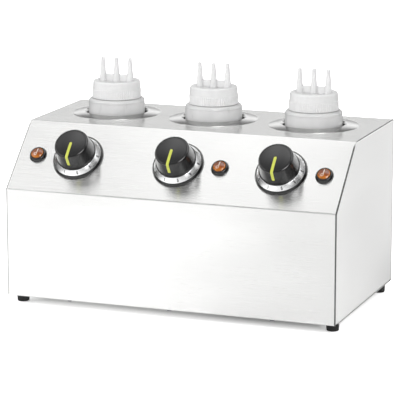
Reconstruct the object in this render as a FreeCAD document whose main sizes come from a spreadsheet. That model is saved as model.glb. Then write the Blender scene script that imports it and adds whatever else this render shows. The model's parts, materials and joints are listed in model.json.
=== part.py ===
# Three-bottle sauce and topping warmer: a folded steel housing on rubber feet, three heated
# wells with squeeze bottles, and a thermostat knob and a pilot lamp for each well.
# Frame: +X to the right, +Y to the back, +Z up, origin on the counter under the middle.
import FreeCAD, Part
import os
import re

import Sketcher

document = FreeCAD.newDocument("topping_warmer")

# Driving sizes in millimetres, plus a few counts.
driving = {
    # housing
    "housing_width": 420,
    "housing_depth": 235,
    "housing_height": 206,
    "front_height": 134,
    "slope_setback": 75,
    "sheet_thickness": 1.0,
    "bend_radius": 1.5,
    "seam_gap": 0.3,
    "bottom_flange": 10,
    "side_flange": 16,
    "panel_edge_radius": 0.8,
    "cut_overrun": 1.0,
    "screw_clearance": 0.05,
    # vents and screws of the base
    "vent_length": 36,
    "vent_width": 4,
    "vent_corner": 1.6,
    "vent_pitch": 24,
    "vent_count": 12,
    "vent_row_gap": 20,
    "flange_screw_spread": 130,
    "flange_screw_inset": 6.5,
    "flange_screw_radius": 1.5,
    "flange_screw_head": 2.9,
    "flange_screw_head_height": 1.8,
    "flange_screw_reach": 3,
    # feet
    "foot_height": 11,
    "foot_top_radius": 8,
    "foot_bottom_radius": 7.4,
    "foot_bevel": 1.0,
    "foot_side_inset": 10.2,
    "foot_front_inset": 22.7,
    "foot_rear_inset": 20,
    "foot_recess_depth": 5,
    "foot_recess_clearance": 0.6,
    "foot_screw_radius": 2,
    "foot_screw_head": 3.8,
    "foot_screw_head_height": 2.4,
    "foot_screw_reach": 4,
    # wells
    "station_pitch": 130,
    "well_setback": 160,
    "bottle_clearance": 2.25,
    "well_depth": 165,
    "well_wall": 0.8,
    "well_floor_bevel": 4,
    "flange_width": 18,
    "flange_edge": 1.0,
    "flange_rise": 2.8,
    "flange_lip_radius": 3.5,
    "lip_bevel": 1.9,
    "flange_seat": 1.2,
    "well_hole_clearance": 1.2,
    # heater bands
    "band_clearance": 0.15,
    "band_thickness": 2.5,
    "band_height": 40,
    "band_rise": 8,
    "band_gap": 10,
    "ear_thickness": 1.5,
    "ear_length": 11,
    "ear_height": 14,
    "band_screw_radius": 2,
    "band_screw_head": 3.5,
    "band_screw_head_height": 2.6,
    "band_screw_reach": 3,
    # temperature probes
    "bulb_radius": 3,
    "bulb_length": 70,
    "bulb_rise": 64,
    "bulb_clearance": 0.1,
    "capillary_radius": 0.8,
    "capillary_bend": 6,
    # thermostats
    "thermostat_width": 34,
    "thermostat_length": 44,
    "thermostat_depth": 26,
    "thermostat_corner": 2,
    "bush_wall": 1.9,
    "bush_height": 5,
    "blade_width": 6.3,
    "blade_thickness": 0.8,
    "blade_length": 8,
    "blade_pitch": 10,
    "blade_offset": 14,
    "thermostat_screw_spacing": 28,
    "thermostat_screw_radius": 2,
    "thermostat_screw_head": 3.5,
    "thermostat_screw_head_height": 2.2,
    "thermostat_screw_reach": 8,
    # knobs, pointers and their shafts
    "shaft_radius": 3,
    "shaft_clearance": 0.08,
    "shaft_depth": 14,
    "shaft_flat": 0.6,
    "shaft_flat_start": 15,
    "knob_base_radius": 25,
    "knob_base_gap": 0.4,
    "knob_band_height": 2.2,
    "knob_band_step": 0.8,
    "knob_top_radius": 20.8,
    "knob_height": 31.5,
    "knob_rim_radius": 2.0,
    "knob_wall": 2.4,
    "knob_boss_wall": 3.5,
    "knob_socket_wall": 5,
    "pointer_width": 3.6,
    "pointer_depth": 0.8,
    "pointer_proud": 0.25,
    "pointer_fit": 0.05,
    "pointer_start": 1.0,
    "pointer_foot_height": 17.4,
    # dials
    "dial_width": 4.85,
    "dial_top_height": 9.2,
    "dial_thickness": 1.0,
    "dial_wall": 1.3,
    "dial_bore_clearance": 0.6,
    "dial_fit": 0.1,
    "bezel_rim": 2.05,
    "bezel_rim_height": 1.2,
    "bezel_height": 4.2,
    "bezel_lip": 0.3,
    "bezel_bevel": 1.5,
    "bezel_wall": 5.4,
    # pilot lamps
    "lamp_offset": 53.3,
    "lens_radius": 8,
    "lens_dome": 2.5,
    "lens_wall": 1.4,
    "lens_bevel": 1.3,
    "lens_fit": 0.1,
    "lens_seat": 1.2,
    "lamp_rim": 3.0,
    "lamp_height": 3.9,
    "lamp_bevel": 1.6,
    "lamp_edge": 0.9,
    "lamp_barrel_radius": 6.9,
    "lamp_barrel_wall": 1.2,
    "lamp_barrel_depth": 18,
    "lamp_hole_clearance": 0.1,
    "lamp_blade_length": 7,
    "lamp_blade_pitch": 6,
    "lamp_blade_width": 2.8,
    "lamp_nut_flats": 18,
    "lamp_nut_height": 4,
    "neon_radius": 2.2,
    "neon_length": 12,
    # bottles and caps
    "bottle_radius": 35.25,
    "bottle_wall": 1.2,
    "bottle_foot_radius": 4,
    "bottle_foot_bevel": 1.9,
    "bottle_shoulder_height": 178.2,
    "shoulder_radius": 6,
    "shoulder_bevel": 3.2,
    "neck_step": 8.25,
    "neck_wall": 1.4,
    "seat_gap": 0.3,
    "cap_gap": 0.5,
    "cap_seal_gap": 0.4,
    "cap_clearance": 0.6,
    "cap_skirt_wall": 2.5,
    "cap_height": 21.5,
    "cap_wall": 1.6,
    "cap_draft": 0.8,
    "cap_edge_radius": 2.0,
    "rib_depth": 0.55,
    "rib_height": 10.6,
    "rib_bevel": 0.5,
    "rib_groove": 1.3,
    "rib_count": 72,
    "recess_radius": 21.4,
    "recess_depth": 2.0,
    "tip_pitch": 18.25,
    "tip_height": 28.1,
    "tip_top_radius": 2.2,
    "tip_base_radius": 4.6,
    "tip_bore_top": 1.2,
    "tip_bore_base": 3.4,
    "web_thickness": 2.2,
    "web_height": 7.5,
    # cord gland in the rear wall
    "gland_across": 150,
    "gland_level": 40,
    "gland_thread_radius": 10,
    "gland_hole_clearance": 0.1,
    "gland_bore_radius": 5.5,
    "gland_flats": 24,
    "gland_hex_height": 5,
    "gland_inner_length": 12,
    "gland_outer_length": 10,
    "gland_seal_radius": 7.6,
    "gland_seal_depth": 7,
    "gland_seal_fit": 0.1,
    "gland_seal_stand": 1.6,
    "gland_locknut_height": 5,
    "cord_radius": 4,
    "dome_radius": 11.4,
    "dome_gap": 0.3,
    "dome_wall": 2.4,
    "dome_round": 3.2,
    "dome_mouth_radius": 5,
    # terminal block
    "block_across": 100,
    "block_setback": 205,
    "block_width": 34,
    "block_length": 20,
    "block_height": 17,
    "block_corner": 1.5,
    "block_pitch": 10,
    "block_wire_radius": 2.2,
    "block_wire_level": 6,
    "block_screw_radius": 2.6,
    "block_screw_depth": 5,
}

# Sizes and places worked out from the driving ones.
derived = {
    "slope_rise": "housing_height - front_height",
    "slope_angle": "atan2(slope_rise; slope_setback)",
    "slope_depth": "slope_setback / 2",
    "slope_level": "front_height + slope_rise / 2",
    "gland_stand": "gland_hex_height + gland_outer_length + gland_seal_stand + dome_gap",
    "dome_end": "gland_stand + dome_wall",
    "middle_depth": "(housing_depth + dome_end) / 2",
    "panel_inset": "sheet_thickness + seam_gap",
    "step_start": "bottom_flange + seam_gap",
    "foot_hole": "foot_screw_radius + screw_clearance",
    "foot_recess": "foot_screw_head + foot_recess_clearance",
    "well_radius": "bottle_radius + bottle_clearance",
    "well_outer": "well_radius + well_wall",
    "well_hole": "well_outer + well_hole_clearance",
    "flange_radius": "well_radius + flange_width",
    "flange_top": "flange_edge + flange_rise",
    "band_inner": "well_outer + band_clearance",
    "band_outer": "band_inner + band_thickness",
    "band_bottom": "band_rise - well_depth",
    "band_middle": "band_bottom + band_height / 2",
    "ear_hole_depth": "band_outer + ear_length / 2",
    "ear_span": "band_gap / 2 + ear_thickness",
    "bulb_depth": "well_setback - well_outer - bulb_clearance - bulb_radius",
    "bulb_bottom": "housing_height - well_depth + bulb_rise",
    "capillary_start": "sheet_thickness + thermostat_depth",
    "capillary_depth": "slope_depth + capillary_start * sin(slope_angle)",
    "capillary_level": "slope_level - capillary_start * cos(slope_angle)",
    "capillary_low": "capillary_level - (bulb_depth - capillary_depth) / tan(slope_angle)",
    "shaft_bore": "shaft_radius + shaft_clearance",
    "bush_radius": "shaft_bore + bush_wall",
    "bush_hole": "bush_radius + screw_clearance",
    "dial_edge_radius": "knob_base_radius + dial_width",
    "dial_seat": "bezel_height - bezel_lip",
    "dial_slant": "dial_width / (dial_top_height - dial_seat)",
    "dial_bore": "bush_radius + dial_bore_clearance",
    "bezel_radius": "dial_edge_radius + bezel_rim",
    "bezel_bore": "bezel_radius - bezel_wall",
    "knob_bottom": "dial_top_height + knob_base_gap",
    "knob_skirt_level": "knob_bottom + knob_band_height",
    "knob_skirt_radius": "knob_base_radius - knob_band_step",
    "knob_taper": "(knob_skirt_radius - knob_top_radius) / (knob_height - knob_skirt_level)",
    "knob_socket_top": "knob_height - knob_socket_wall",
    "pointer_foot_radius": "knob_top_radius + knob_taper * (knob_height - pointer_foot_height)",
    "lamp_radius": "lens_radius + lamp_rim",
    "lamp_hole": "lamp_barrel_radius + lamp_hole_clearance",
    "lamp_bore": "lamp_barrel_radius - lamp_barrel_wall",
    "neck_radius": "bottle_radius - neck_step",
    "shoulder_top": "bottle_shoulder_height + shoulder_radius",
    "cap_ceiling": "cap_height - recess_depth - cap_wall",
    "neck_top": "shoulder_top + cap_gap + cap_ceiling - cap_seal_gap",
    "skirt_inner": "neck_radius + cap_clearance",
    "skirt_outer": "skirt_inner + cap_skirt_wall",
    "rib_radius": "skirt_outer + rib_depth",
    "recess_floor": "cap_height - recess_depth",
    "gland_hole": "gland_thread_radius + gland_hole_clearance",
    "gland_outer_end": "gland_hex_height + gland_outer_length",
    "well_station_depth": "well_setback - middle_depth",
    "slope_station_depth": "slope_depth - middle_depth",
    "top_level": "foot_height + housing_height",
    "slope_station_level": "foot_height + slope_level",
    "bottle_level": "top_level - well_depth + seat_gap",
    "cap_level": "bottle_level + shoulder_top + cap_gap",
}

sizes = document.addObject("Spreadsheet::Sheet", "Sizes")
cells = {name: str(number) for name, number in driving.items()}
cells.update({name: "=" + formula for name, formula in derived.items()})
for row, (name, content) in enumerate(cells.items(), start=1):
    sizes.set(f"A{row}", name)
    sizes.set(f"B{row}", content)
    sizes.setAlias(f"B{row}", name)
document.recompute()

pieces = []
stations = (-1, 0, 1)
sides = (-1, 1)


def value(formula):
    """The number that a formula of sheet names comes to."""
    return float(sizes.evalExpression(str(formula)))


def bind(thing, path, formula):
    """Ties a property or constraint to a formula of sheet names."""
    words = re.sub(r"[a-z]+(_[a-z]+)+", lambda word: f"Sizes.{word[0]}", str(formula))
    thing.setExpression(path, words)


def new_body(label):
    body = document.addObject("PartDesign::Body", label)
    body.Label = label
    body.AllowCompound = True
    pieces.append(body)
    return body


def place(body, across, depth, level, turn=None):
    """Puts a body in the common frame; turn is its angle about X."""
    if turn:
        body.Placement.Rotation = FreeCAD.Rotation(FreeCAD.Vector(1, 0, 0), 1)
        bind(body, "Placement.Rotation.Angle", turn)
    bind(body, "Placement.Base.x", across)
    bind(body, "Placement.Base.y", depth)
    bind(body, "Placement.Base.z", level)
    return body


def place_in_housing(body):
    """Housing frame: Y from the front face, Z from the housing's bottom edge."""
    return place(body, 0, "-middle_depth", "foot_height")


def place_at_well(body, station, level="top_level"):
    return place(body, f"{station} * station_pitch", "well_station_depth", level)


def place_on_slope(body, across):
    """Slope frame: Z square to the sloping panel, from its outer face."""
    return place(body, across, "slope_station_depth", "slope_station_level", "slope_angle")


def sketch_on(body, plane, lift="0", across="0", up="0", tilt=None):
    """A sketch on one of the body's origin planes, shifted along it and off it."""
    support = next(item for item in body.Origin.OriginFeatures if item.Role == plane)
    sketch = body.newObject("Sketcher::SketchObject", "Sketch")
    sketch.AttachmentSupport = [(support, "")]
    sketch.MapMode = "FlatFace"
    if tilt:
        turn = FreeCAD.Rotation(FreeCAD.Vector(1, 0, 0), 1)
        sketch.AttachmentOffset = FreeCAD.Placement(FreeCAD.Vector(), turn)
        bind(sketch, "AttachmentOffset.Rotation.Angle", tilt)
    bind(sketch, "AttachmentOffset.Base.x", across)
    bind(sketch, "AttachmentOffset.Base.y", up)
    bind(sketch, "AttachmentOffset.Base.z", lift)
    return sketch


def fix_point(sketch, geometry, end, across, up):
    """Holds a point of the sketch at two formulas from the sketch's origin."""
    for direction, formula in (("DistanceX", across), ("DistanceY", up)):
        rule = Sketcher.Constraint(direction, -1, 1, geometry, end, value(formula))
        index = sketch.addConstraint(rule)
        bind(sketch, f"Constraints[{index}]", formula)


def circle(sketch, across, up, radius):
    centre = FreeCAD.Vector(value(across), value(up), 0)
    shape = Part.Circle(centre, FreeCAD.Vector(0, 0, 1), value(radius))
    geometry = sketch.addGeometry(shape, False)
    fix_point(sketch, geometry, 3, across, up)
    index = sketch.addConstraint(Sketcher.Constraint("Radius", geometry, value(radius)))
    bind(sketch, f"Constraints[{index}]", radius)


def outline(sketch, corners, closed=True):
    """Draws straight runs through corners (across, up) or (across, up, round radius)."""
    spots = [FreeCAD.Vector(value(corner[0]), value(corner[1]), 0) for corner in corners]
    rounds = [corner[2] if len(corner) > 2 else None for corner in corners]
    count = len(corners)
    bends = []
    for index, (spot, rounding) in enumerate(zip(spots, rounds)):
        if not rounding:
            bends.append((spot, spot, None))
            continue
        before = (spots[index - 1] - spot).normalize()
        after = (spots[(index + 1) % count] - spot).normalize()
        reach = value(rounding) * (1 + before.dot(after)) / before.cross(after).Length
        centre = spot + (before + after).normalize() * (reach**2 + value(rounding) ** 2) ** 0.5
        bends.append((spot + before * reach, spot + after * reach, centre))
    runs = count if closed else count - 1
    first = sketch.GeometryCount
    for index in range(runs):
        start = bends[index][1]
        end = bends[(index + 1) % count][0]
        sketch.addGeometry(Part.LineSegment(start, end), False)
    for index, (corner, rounding) in enumerate(zip(corners, rounds)):
        before = first + (index - 1) % count
        after = first + index
        if not closed and index == 0:
            fix_point(sketch, after, 1, corner[0], corner[1])
        elif not closed and index == count - 1:
            fix_point(sketch, before, 2, corner[0], corner[1])
        elif not rounding:
            sketch.addConstraint(Sketcher.Constraint("Coincident", before, 2, after, 1))
            fix_point(sketch, after, 1, corner[0], corner[1])
        else:
            round_corner(sketch, bends[index], before, after, corner)


def round_corner(sketch, bend, before, after, corner):
    """An arc between two runs, tangent to both, about the sharp corner that they aim at."""
    start, end, centre = bend
    radius = (start - centre).Length
    turn = (start - centre).cross(end - centre).z
    from_point, to_point = (start, end) if turn > 0 else (end, start)
    across = FreeCAD.Vector(1, 0, 0)
    angles = []
    for point in (from_point, to_point):
        arm = point - centre
        angle = across.getAngle(arm)
        angles.append(angle if arm.y >= 0 else -angle)
    whole = Part.Circle(centre, FreeCAD.Vector(0, 0, 1), radius)
    arc = sketch.addGeometry(Part.ArcOfCircle(whole, angles[0], angles[1]), False)
    start_end, far_end = (1, 2) if turn > 0 else (2, 1)
    sketch.addConstraint(Sketcher.Constraint("Tangent", before, 2, arc, start_end))
    sketch.addConstraint(Sketcher.Constraint("Tangent", arc, far_end, after, 1))
    index = sketch.addConstraint(Sketcher.Constraint("Radius", arc, radius))
    bind(sketch, f"Constraints[{index}]", corner[2])
    spot = FreeCAD.Vector(value(corner[0]), value(corner[1]), 0)
    point = sketch.addGeometry(Part.Point(spot), True)
    fix_point(sketch, point, 1, corner[0], corner[1])
    sketch.addConstraint(Sketcher.Constraint("PointOnObject", point, 1, before))
    sketch.addConstraint(Sketcher.Constraint("PointOnObject", point, 1, after))


def pad(body, sketch, length, backwards=False, both_ways=False):
    feature = body.newObject("PartDesign::Pad", "Pad")
    feature.Profile = sketch
    feature.SideType = "Symmetric" if both_ways else "One side"
    feature.Reversed = backwards
    bind(feature, "Length", length)
    document.recompute()
    return feature


def pocket(body, sketch, depth, backwards=False, both_ways=False):
    """Cuts a sketch's outline out of the body and makes sure that material has gone."""
    volume = body.Shape.Volume
    feature = body.newObject("PartDesign::Pocket", "Pocket")
    feature.Profile = sketch
    feature.SideType = "Symmetric" if both_ways else "One side"
    feature.Reversed = backwards
    bind(feature, "Length", depth)
    document.recompute()
    if not body.Shape.Volume < volume:
        raise RuntimeError(f"a pocket of {body.Label} cuts nothing")
    return feature


def turned(label, corners):
    """A body made by turning a profile of (radius, height) corners about Z."""
    body = new_body(label)
    sketch = sketch_on(body, "XZ_Plane")
    outline(sketch, corners)
    feature = body.newObject("PartDesign::Revolution", "Revolution")
    feature.Profile = sketch
    feature.ReferenceAxis = (sketch, ["V_Axis"])
    feature.Angle = 360
    document.recompute()
    return body


def rectangle(left, low, right, high, rounding=None):
    ends = (rounding,) if rounding else ()
    return [(left, low) + ends, (right, low) + ends, (right, high) + ends, (left, high) + ends]


def hexagon(flats, across="0", up="0"):
    return [
        (
            f"{across} + {flats} / sqrt(3) * cos({60 * corner} deg)",
            f"{up} + {flats} / sqrt(3) * sin({60 * corner} deg)",
        )
        for corner in range(6)
    ]


def edges_where(feature, test):
    """Names of a feature's edges whose two ends both pass the test."""
    edges = enumerate(feature.Shape.Edges, start=1)
    return [f"Edge{index}" for index, edge in edges if all(test(v.Point) for v in edge.Vertexes)]


def fillet(body, feature, test, radius):
    rounded = body.newObject("PartDesign::Fillet", "Fillet")
    rounded.Base = (feature, edges_where(feature, test))
    bind(rounded, "Radius", radius)
    document.recompute()
    return rounded


def cone(body, kind, across, lift, base_radius, top_radius, height):
    """An upright cone added to or cut from a body, at a place along X."""
    feature = body.newObject(f"PartDesign::{kind}Cone", "Cone")
    support = next(item for item in body.Origin.OriginFeatures if item.Role == "XY_Plane")
    feature.AttachmentSupport = [(support, "")]
    feature.MapMode = "FlatFace"
    bind(feature, "AttachmentOffset.Base.x", across)
    bind(feature, "AttachmentOffset.Base.z", lift)
    bind(feature, "Radius1", base_radius)
    bind(feature, "Radius2", top_radius)
    bind(feature, "Height", height)
    document.recompute()
    return feature


def housing_outline(inset, rounding=None):
    """The housing's side view (depth, height), drawn in by an inset all round."""
    ends = (rounding,) if rounding else ()
    low_bend = f"front_height - ({inset}) * (1 - sin(slope_angle)) / cos(slope_angle)"
    high_bend = f"slope_setback + ({inset}) * (1 - cos(slope_angle)) / sin(slope_angle)"
    back = f"housing_depth - ({inset})"
    top = f"housing_height - ({inset})"
    corners = [(inset, inset), (inset, low_bend), (high_bend, top), (back, top), (back, inset)]
    return [corner + ends for corner in corners]


def slope_sketch(body):
    return sketch_on(body, "XY_Plane", "slope_level", "0", "slope_depth", "slope_angle")


def housing_wrap():
    """Front, sloping panel, top and rear, folded from one sheet, with a lip along each bottom."""
    body = place_in_housing(new_body("housing_wrap"))
    sketch = sketch_on(body, "YZ_Plane")
    outline(sketch, housing_outline("0", "bend_radius + sheet_thickness"))
    pad(body, sketch, "housing_width", both_ways=True)
    sketch = sketch_on(body, "YZ_Plane")
    outline(sketch, housing_outline("sheet_thickness", "bend_radius"))
    pocket(body, sketch, "housing_width + cut_overrun", both_ways=True)
    sketch = sketch_on(body, "YZ_Plane")
    back_lip = "housing_depth - bottom_flange"
    outline(sketch, rectangle("bottom_flange", "-cut_overrun", back_lip, "2 * sheet_thickness"))
    pocket(body, sketch, "housing_width + cut_overrun", both_ways=True)
    sketch = sketch_on(body, "XY_Plane", "housing_height")
    for station in stations:
        circle(sketch, f"{station} * station_pitch", "well_setback", "well_hole")
    pocket(body, sketch, "sheet_thickness + cut_overrun")
    sketch = slope_sketch(body)
    for station in stations:
        across = f"{station} * station_pitch"
        circle(sketch, across, 0, "bush_hole")
        circle(sketch, lamp_place(station), 0, "lamp_hole")
        for side in sides:
            spot = f"{side} * thermostat_screw_spacing / 2"
            circle(sketch, across, spot, "thermostat_screw_radius + screw_clearance")
    pocket(body, sketch, "sheet_thickness + cut_overrun")
    sketch = sketch_on(body, "XY_Plane")
    for station in stations:
        for setback in ("flange_screw_inset", "housing_depth - flange_screw_inset"):
            spot = f"{station} * flange_screw_spread"
            circle(sketch, spot, setback, "flange_screw_radius + screw_clearance")
    pocket(body, sketch, "sheet_thickness + cut_overrun", backwards=True)
    sketch = sketch_on(body, "XZ_Plane", "-housing_depth")
    circle(sketch, "gland_across", "gland_level", "gland_hole")
    pocket(body, sketch, "sheet_thickness + cut_overrun", backwards=True)


def lamp_place(station):
    """Lamp 1 stands left of its knob, the others to the right of theirs."""
    side = -1 if station == stations[0] else 1
    return f"{station} * station_pitch + {side} * lamp_offset"


def side_panel(name, side):
    """A flanged cover that closes one end of the wrap, flush with the wrap's edges."""
    body = place_in_housing(new_body(f"side_panel_{name}"))
    start = "housing_width / 2 - side_flange" if side > 0 else "-housing_width / 2"
    sketch = sketch_on(body, "YZ_Plane", start)
    outline(sketch, housing_outline("panel_inset", "bend_radius - seam_gap"))
    block = pad(body, sketch, "side_flange")
    reach = value("housing_width / 2 - sheet_thickness / 2")
    fillet(body, block, lambda point: side * point.x > reach, "panel_edge_radius")
    mouth = f"{side} * (housing_width / 2 - side_flange)"
    sketch = sketch_on(body, "YZ_Plane", mouth)
    outline(sketch, housing_outline("panel_inset + sheet_thickness"))
    pocket(body, sketch, "side_flange - sheet_thickness", backwards=side > 0)
    sketch = sketch_on(body, "XY_Plane", "panel_inset")
    for setback in foot_setbacks():
        circle(sketch, f"{side} * (housing_width / 2 - foot_side_inset)", setback, "foot_hole")
    pocket(body, sketch, "sheet_thickness + cut_overrun", backwards=True)


def foot_setbacks():
    return ("foot_front_inset", "housing_depth - foot_rear_inset")


def base_plate():
    """Bottom sheet, flush with the wrap's lips and stepped up over them front and back."""
    body = place_in_housing(new_body("base_plate"))
    lip_start = "sheet_thickness + bend_radius + seam_gap"
    step_end = "step_start + sheet_thickness"
    front = [
        (step_end, "sheet_thickness"),
        (step_end, "2 * sheet_thickness"),
        (lip_start, "2 * sheet_thickness"),
        (lip_start, "sheet_thickness"),
        ("step_start", "sheet_thickness"),
        ("step_start", "0"),
    ]
    back = [(f"housing_depth - ({depth})", level) for depth, level in reversed(front)]
    sketch = sketch_on(body, "YZ_Plane")
    outline(sketch, front + back)
    pad(body, sketch, "housing_width", both_ways=True)
    sketch = sketch_on(body, "XY_Plane", "sheet_thickness")
    inner = "housing_width / 2 - side_flange - seam_gap"
    outer = "housing_width / 2 + cut_overrun"
    for side in sides:
        across = sorted((f"{side} * ({inner})", f"{side} * ({outer})"), key=value)
        outline(sketch, rectangle(across[0], 0, across[1], step_end))
        far = f"housing_depth - ({step_end})"
        outline(sketch, rectangle(across[0], far, across[1], "housing_depth"))
    pocket(body, sketch, "sheet_thickness + cut_overrun", backwards=True)
    sketch = sketch_on(body, "XY_Plane")
    for side in sides:
        for setback in foot_setbacks():
            circle(sketch, f"{side} * (housing_width / 2 - foot_side_inset)", setback, "foot_hole")
    for station in stations:
        for setback in ("flange_screw_inset", "housing_depth - flange_screw_inset"):
            spot = f"{station} * flange_screw_spread"
            circle(sketch, spot, setback, "flange_screw_radius + screw_clearance")
    pocket(body, sketch, "2 * sheet_thickness + cut_overrun", backwards=True)
    sketch = sketch_on(body, "XY_Plane")
    left = "-(vent_count - 1) * vent_pitch / 2 - vent_width / 2"
    for side in sides:
        near = f"housing_depth / 2 + {side} * (vent_row_gap + vent_length) / 2 - vent_length / 2"
        corners = rectangle(left, near, f"{left} + vent_width", f"{near} + vent_length", "vent_corner")
        outline(sketch, corners)
    vents = pocket(body, sketch, "sheet_thickness + cut_overrun", backwards=True)
    row = body.newObject("PartDesign::LinearPattern", "Vents")
    row.Originals = [vents]
    row.Direction = (sketch, ["H_Axis"])
    row.Mode = "Spacing"
    bind(row, "Offset", "vent_pitch")
    bind(row, "Occurrences", "vent_count")
    body.Tip = row
    document.recompute()


def foot(name, side, setback):
    """Rubber foot, tapered and bevelled at the bottom, with a recess for its screw's head."""
    body = turned(
        f"foot_{name}",
        [
            ("foot_hole", "foot_recess_depth"),
            ("foot_recess", "foot_recess_depth"),
            ("foot_recess", 0),
            ("foot_bottom_radius - foot_bevel", 0),
            ("foot_bottom_radius", "foot_bevel"),
            ("foot_top_radius", "foot_height"),
            ("foot_hole", "foot_height"),
        ],
    )
    across = f"{side} * (housing_width / 2 - foot_side_inset)"
    place(body, across, f"{setback} - middle_depth", 0)


def screws(label, spots, level, radius, length, head, head_height):
    """A group of pan-head screws along one direction, heads before the level."""
    body = new_body(label)
    for width, reach, backwards in ((radius, length, False), (head, head_height, True)):
        sketch = sketch_on(body, "XY_Plane", level)
        for across, up in spots:
            circle(sketch, across, up, width)
        pad(body, sketch, reach, backwards=backwards)
    return body


def foot_screws():
    spots = [
        (f"{side} * (housing_width / 2 - foot_side_inset)", setback)
        for side in sides
        for setback in foot_setbacks()
    ]
    through = "foot_height - foot_recess_depth + panel_inset + sheet_thickness"
    body = screws(
        "foot_screws",
        spots,
        "foot_recess_depth - foot_height",
        "foot_screw_radius",
        f"{through} + foot_screw_reach",
        "foot_screw_head",
        "foot_screw_head_height",
    )
    place_in_housing(body)


def base_screws():
    spots = [
        (f"{station} * flange_screw_spread", setback)
        for station in stations
        for setback in ("flange_screw_inset", "housing_depth - flange_screw_inset")
    ]
    body = screws(
        "base_screws",
        spots,
        "0",
        "flange_screw_radius",
        "2 * sheet_thickness + flange_screw_reach",
        "flange_screw_head",
        "flange_screw_head_height",
    )
    place_in_housing(body)


def well(number, station):
    """Deep-drawn cup, its polished flange rising in a low cone to the rolled lip."""
    seat = "flange_radius - flange_seat"
    under = "flange_top - well_wall"
    fall = f"lip_bevel * ({under}) / ({seat} - well_outer)"
    floor = "-well_depth - well_wall"
    body = turned(
        f"well_{number}",
        [
            (0, "-well_depth"),
            ("well_radius - well_floor_bevel", "-well_depth"),
            ("well_radius", "well_floor_bevel - well_depth"),
            ("well_radius", "flange_top", "flange_lip_radius"),
            ("flange_radius", "flange_edge"),
            ("flange_radius", 0),
            (seat, 0),
            ("well_outer + lip_bevel", f"{under} - {fall}"),
            ("well_outer", f"{under} - lip_bevel"),
            ("well_outer", f"{floor} + well_floor_bevel"),
            ("well_outer - well_floor_bevel", floor),
            (0, floor),
        ],
    )
    place_at_well(body, station)


def heater_band(number, station):
    """Mica band heater clamped round the well, split at the back, with two clamp ears."""
    body = turned(
        f"heater_band_{number}",
        rectangle("band_inner", "band_bottom", "band_outer", "band_bottom + band_height"),
    )
    sketch = sketch_on(body, "XY_Plane", "band_bottom")
    corners = rectangle("-band_gap / 2", 0, "band_gap / 2", "band_outer + cut_overrun")
    outline(sketch, corners)
    pocket(body, sketch, "band_height + cut_overrun", backwards=True)
    sketch = sketch_on(body, "XY_Plane", "band_middle - ear_height / 2")
    root, tip = "band_inner + band_thickness / 2", "band_outer + ear_length"
    outline(sketch, rectangle("band_gap / 2", root, "ear_span", tip))
    outline(sketch, rectangle("-ear_span", root, "-band_gap / 2", tip))
    pad(body, sketch, "ear_height")
    sketch = sketch_on(body, "YZ_Plane")
    circle(sketch, "ear_hole_depth", "band_middle", "band_screw_radius + screw_clearance")
    pocket(body, sketch, "2 * ear_span + cut_overrun", both_ways=True)
    place_at_well(body, station)


def band_screws():
    body = new_body("band_screws")
    for station in stations:
        level = f"{station} * station_pitch - ear_span"
        shank = ("band_screw_radius", "2 * ear_span + band_screw_reach", False)
        head = ("band_screw_head", "band_screw_head_height", True)
        for radius, reach, backwards in (shank, head):
            sketch = sketch_on(body, "YZ_Plane", level)
            circle(sketch, "ear_hole_depth", "band_middle", radius)
            pad(body, sketch, reach, backwards=backwards)
    place(body, 0, "well_station_depth", "top_level")


def sensor_probe(number, station):
    """Fluid bulb against the well and the capillary that leads to the thermostat."""
    body = place_in_housing(new_body(f"sensor_probe_{number}"))
    across = f"{station} * station_pitch"
    sketch = sketch_on(body, "XY_Plane", "bulb_bottom")
    circle(sketch, across, "bulb_depth", "bulb_radius")
    pad(body, sketch, "bulb_length")
    route = sketch_on(body, "YZ_Plane", across)
    corners = [
        ("capillary_depth", "capillary_level"),
        ("bulb_depth", "capillary_low", "capillary_bend"),
        ("bulb_depth", "bulb_bottom + bulb_radius"),
    ]
    outline(route, corners, closed=False)
    section = sketch_on(
        body, "XY_Plane", "capillary_level", across, "capillary_depth", "slope_angle"
    )
    circle(section, 0, 0, "capillary_radius")
    tube = body.newObject("PartDesign::AdditivePipe", "Capillary")
    tube.Profile = section
    tube.Spine = route
    document.recompute()


def thermostat(number, station):
    """Capillary thermostat: case, threaded bush through the panel, and three blade terminals."""
    body = new_body(f"thermostat_{number}")
    sketch = sketch_on(body, "XY_Plane", "-sheet_thickness")
    half_width, half_length = "thermostat_width / 2", "thermostat_length / 2"
    outline(
        sketch,
        rectangle(
            f"-{half_width}", f"-{half_length}", half_width, half_length, "thermostat_corner"
        ),
    )
    pad(body, sketch, "thermostat_depth", backwards=True)
    sketch = sketch_on(body, "XY_Plane", "-sheet_thickness")
    circle(sketch, 0, 0, "bush_radius")
    pad(body, sketch, "bush_height")
    sketch = sketch_on(body, "XY_Plane", "-sheet_thickness - thermostat_depth")
    for place_number in stations:
        middle = f"{place_number} * blade_pitch"
        left, right = f"{middle} - blade_width / 2", f"{middle} + blade_width / 2"
        low = "blade_offset - blade_thickness / 2"
        outline(sketch, rectangle(left, low, right, f"{low} + blade_thickness"))
    pad(body, sketch, "blade_length", backwards=True)
    sketch = sketch_on(body, "XY_Plane", "bush_height - sheet_thickness")
    circle(sketch, 0, 0, "shaft_bore")
    pocket(body, sketch, "bush_height - sheet_thickness + shaft_depth + cut_overrun")
    sketch = sketch_on(body, "XY_Plane", "-sheet_thickness")
    for side in sides:
        spot = f"{side} * thermostat_screw_spacing / 2"
        circle(sketch, 0, spot, "thermostat_screw_radius + screw_clearance")
    pocket(body, sketch, "thermostat_screw_reach + cut_overrun")
    place_on_slope(body, f"{station} * station_pitch")


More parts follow.
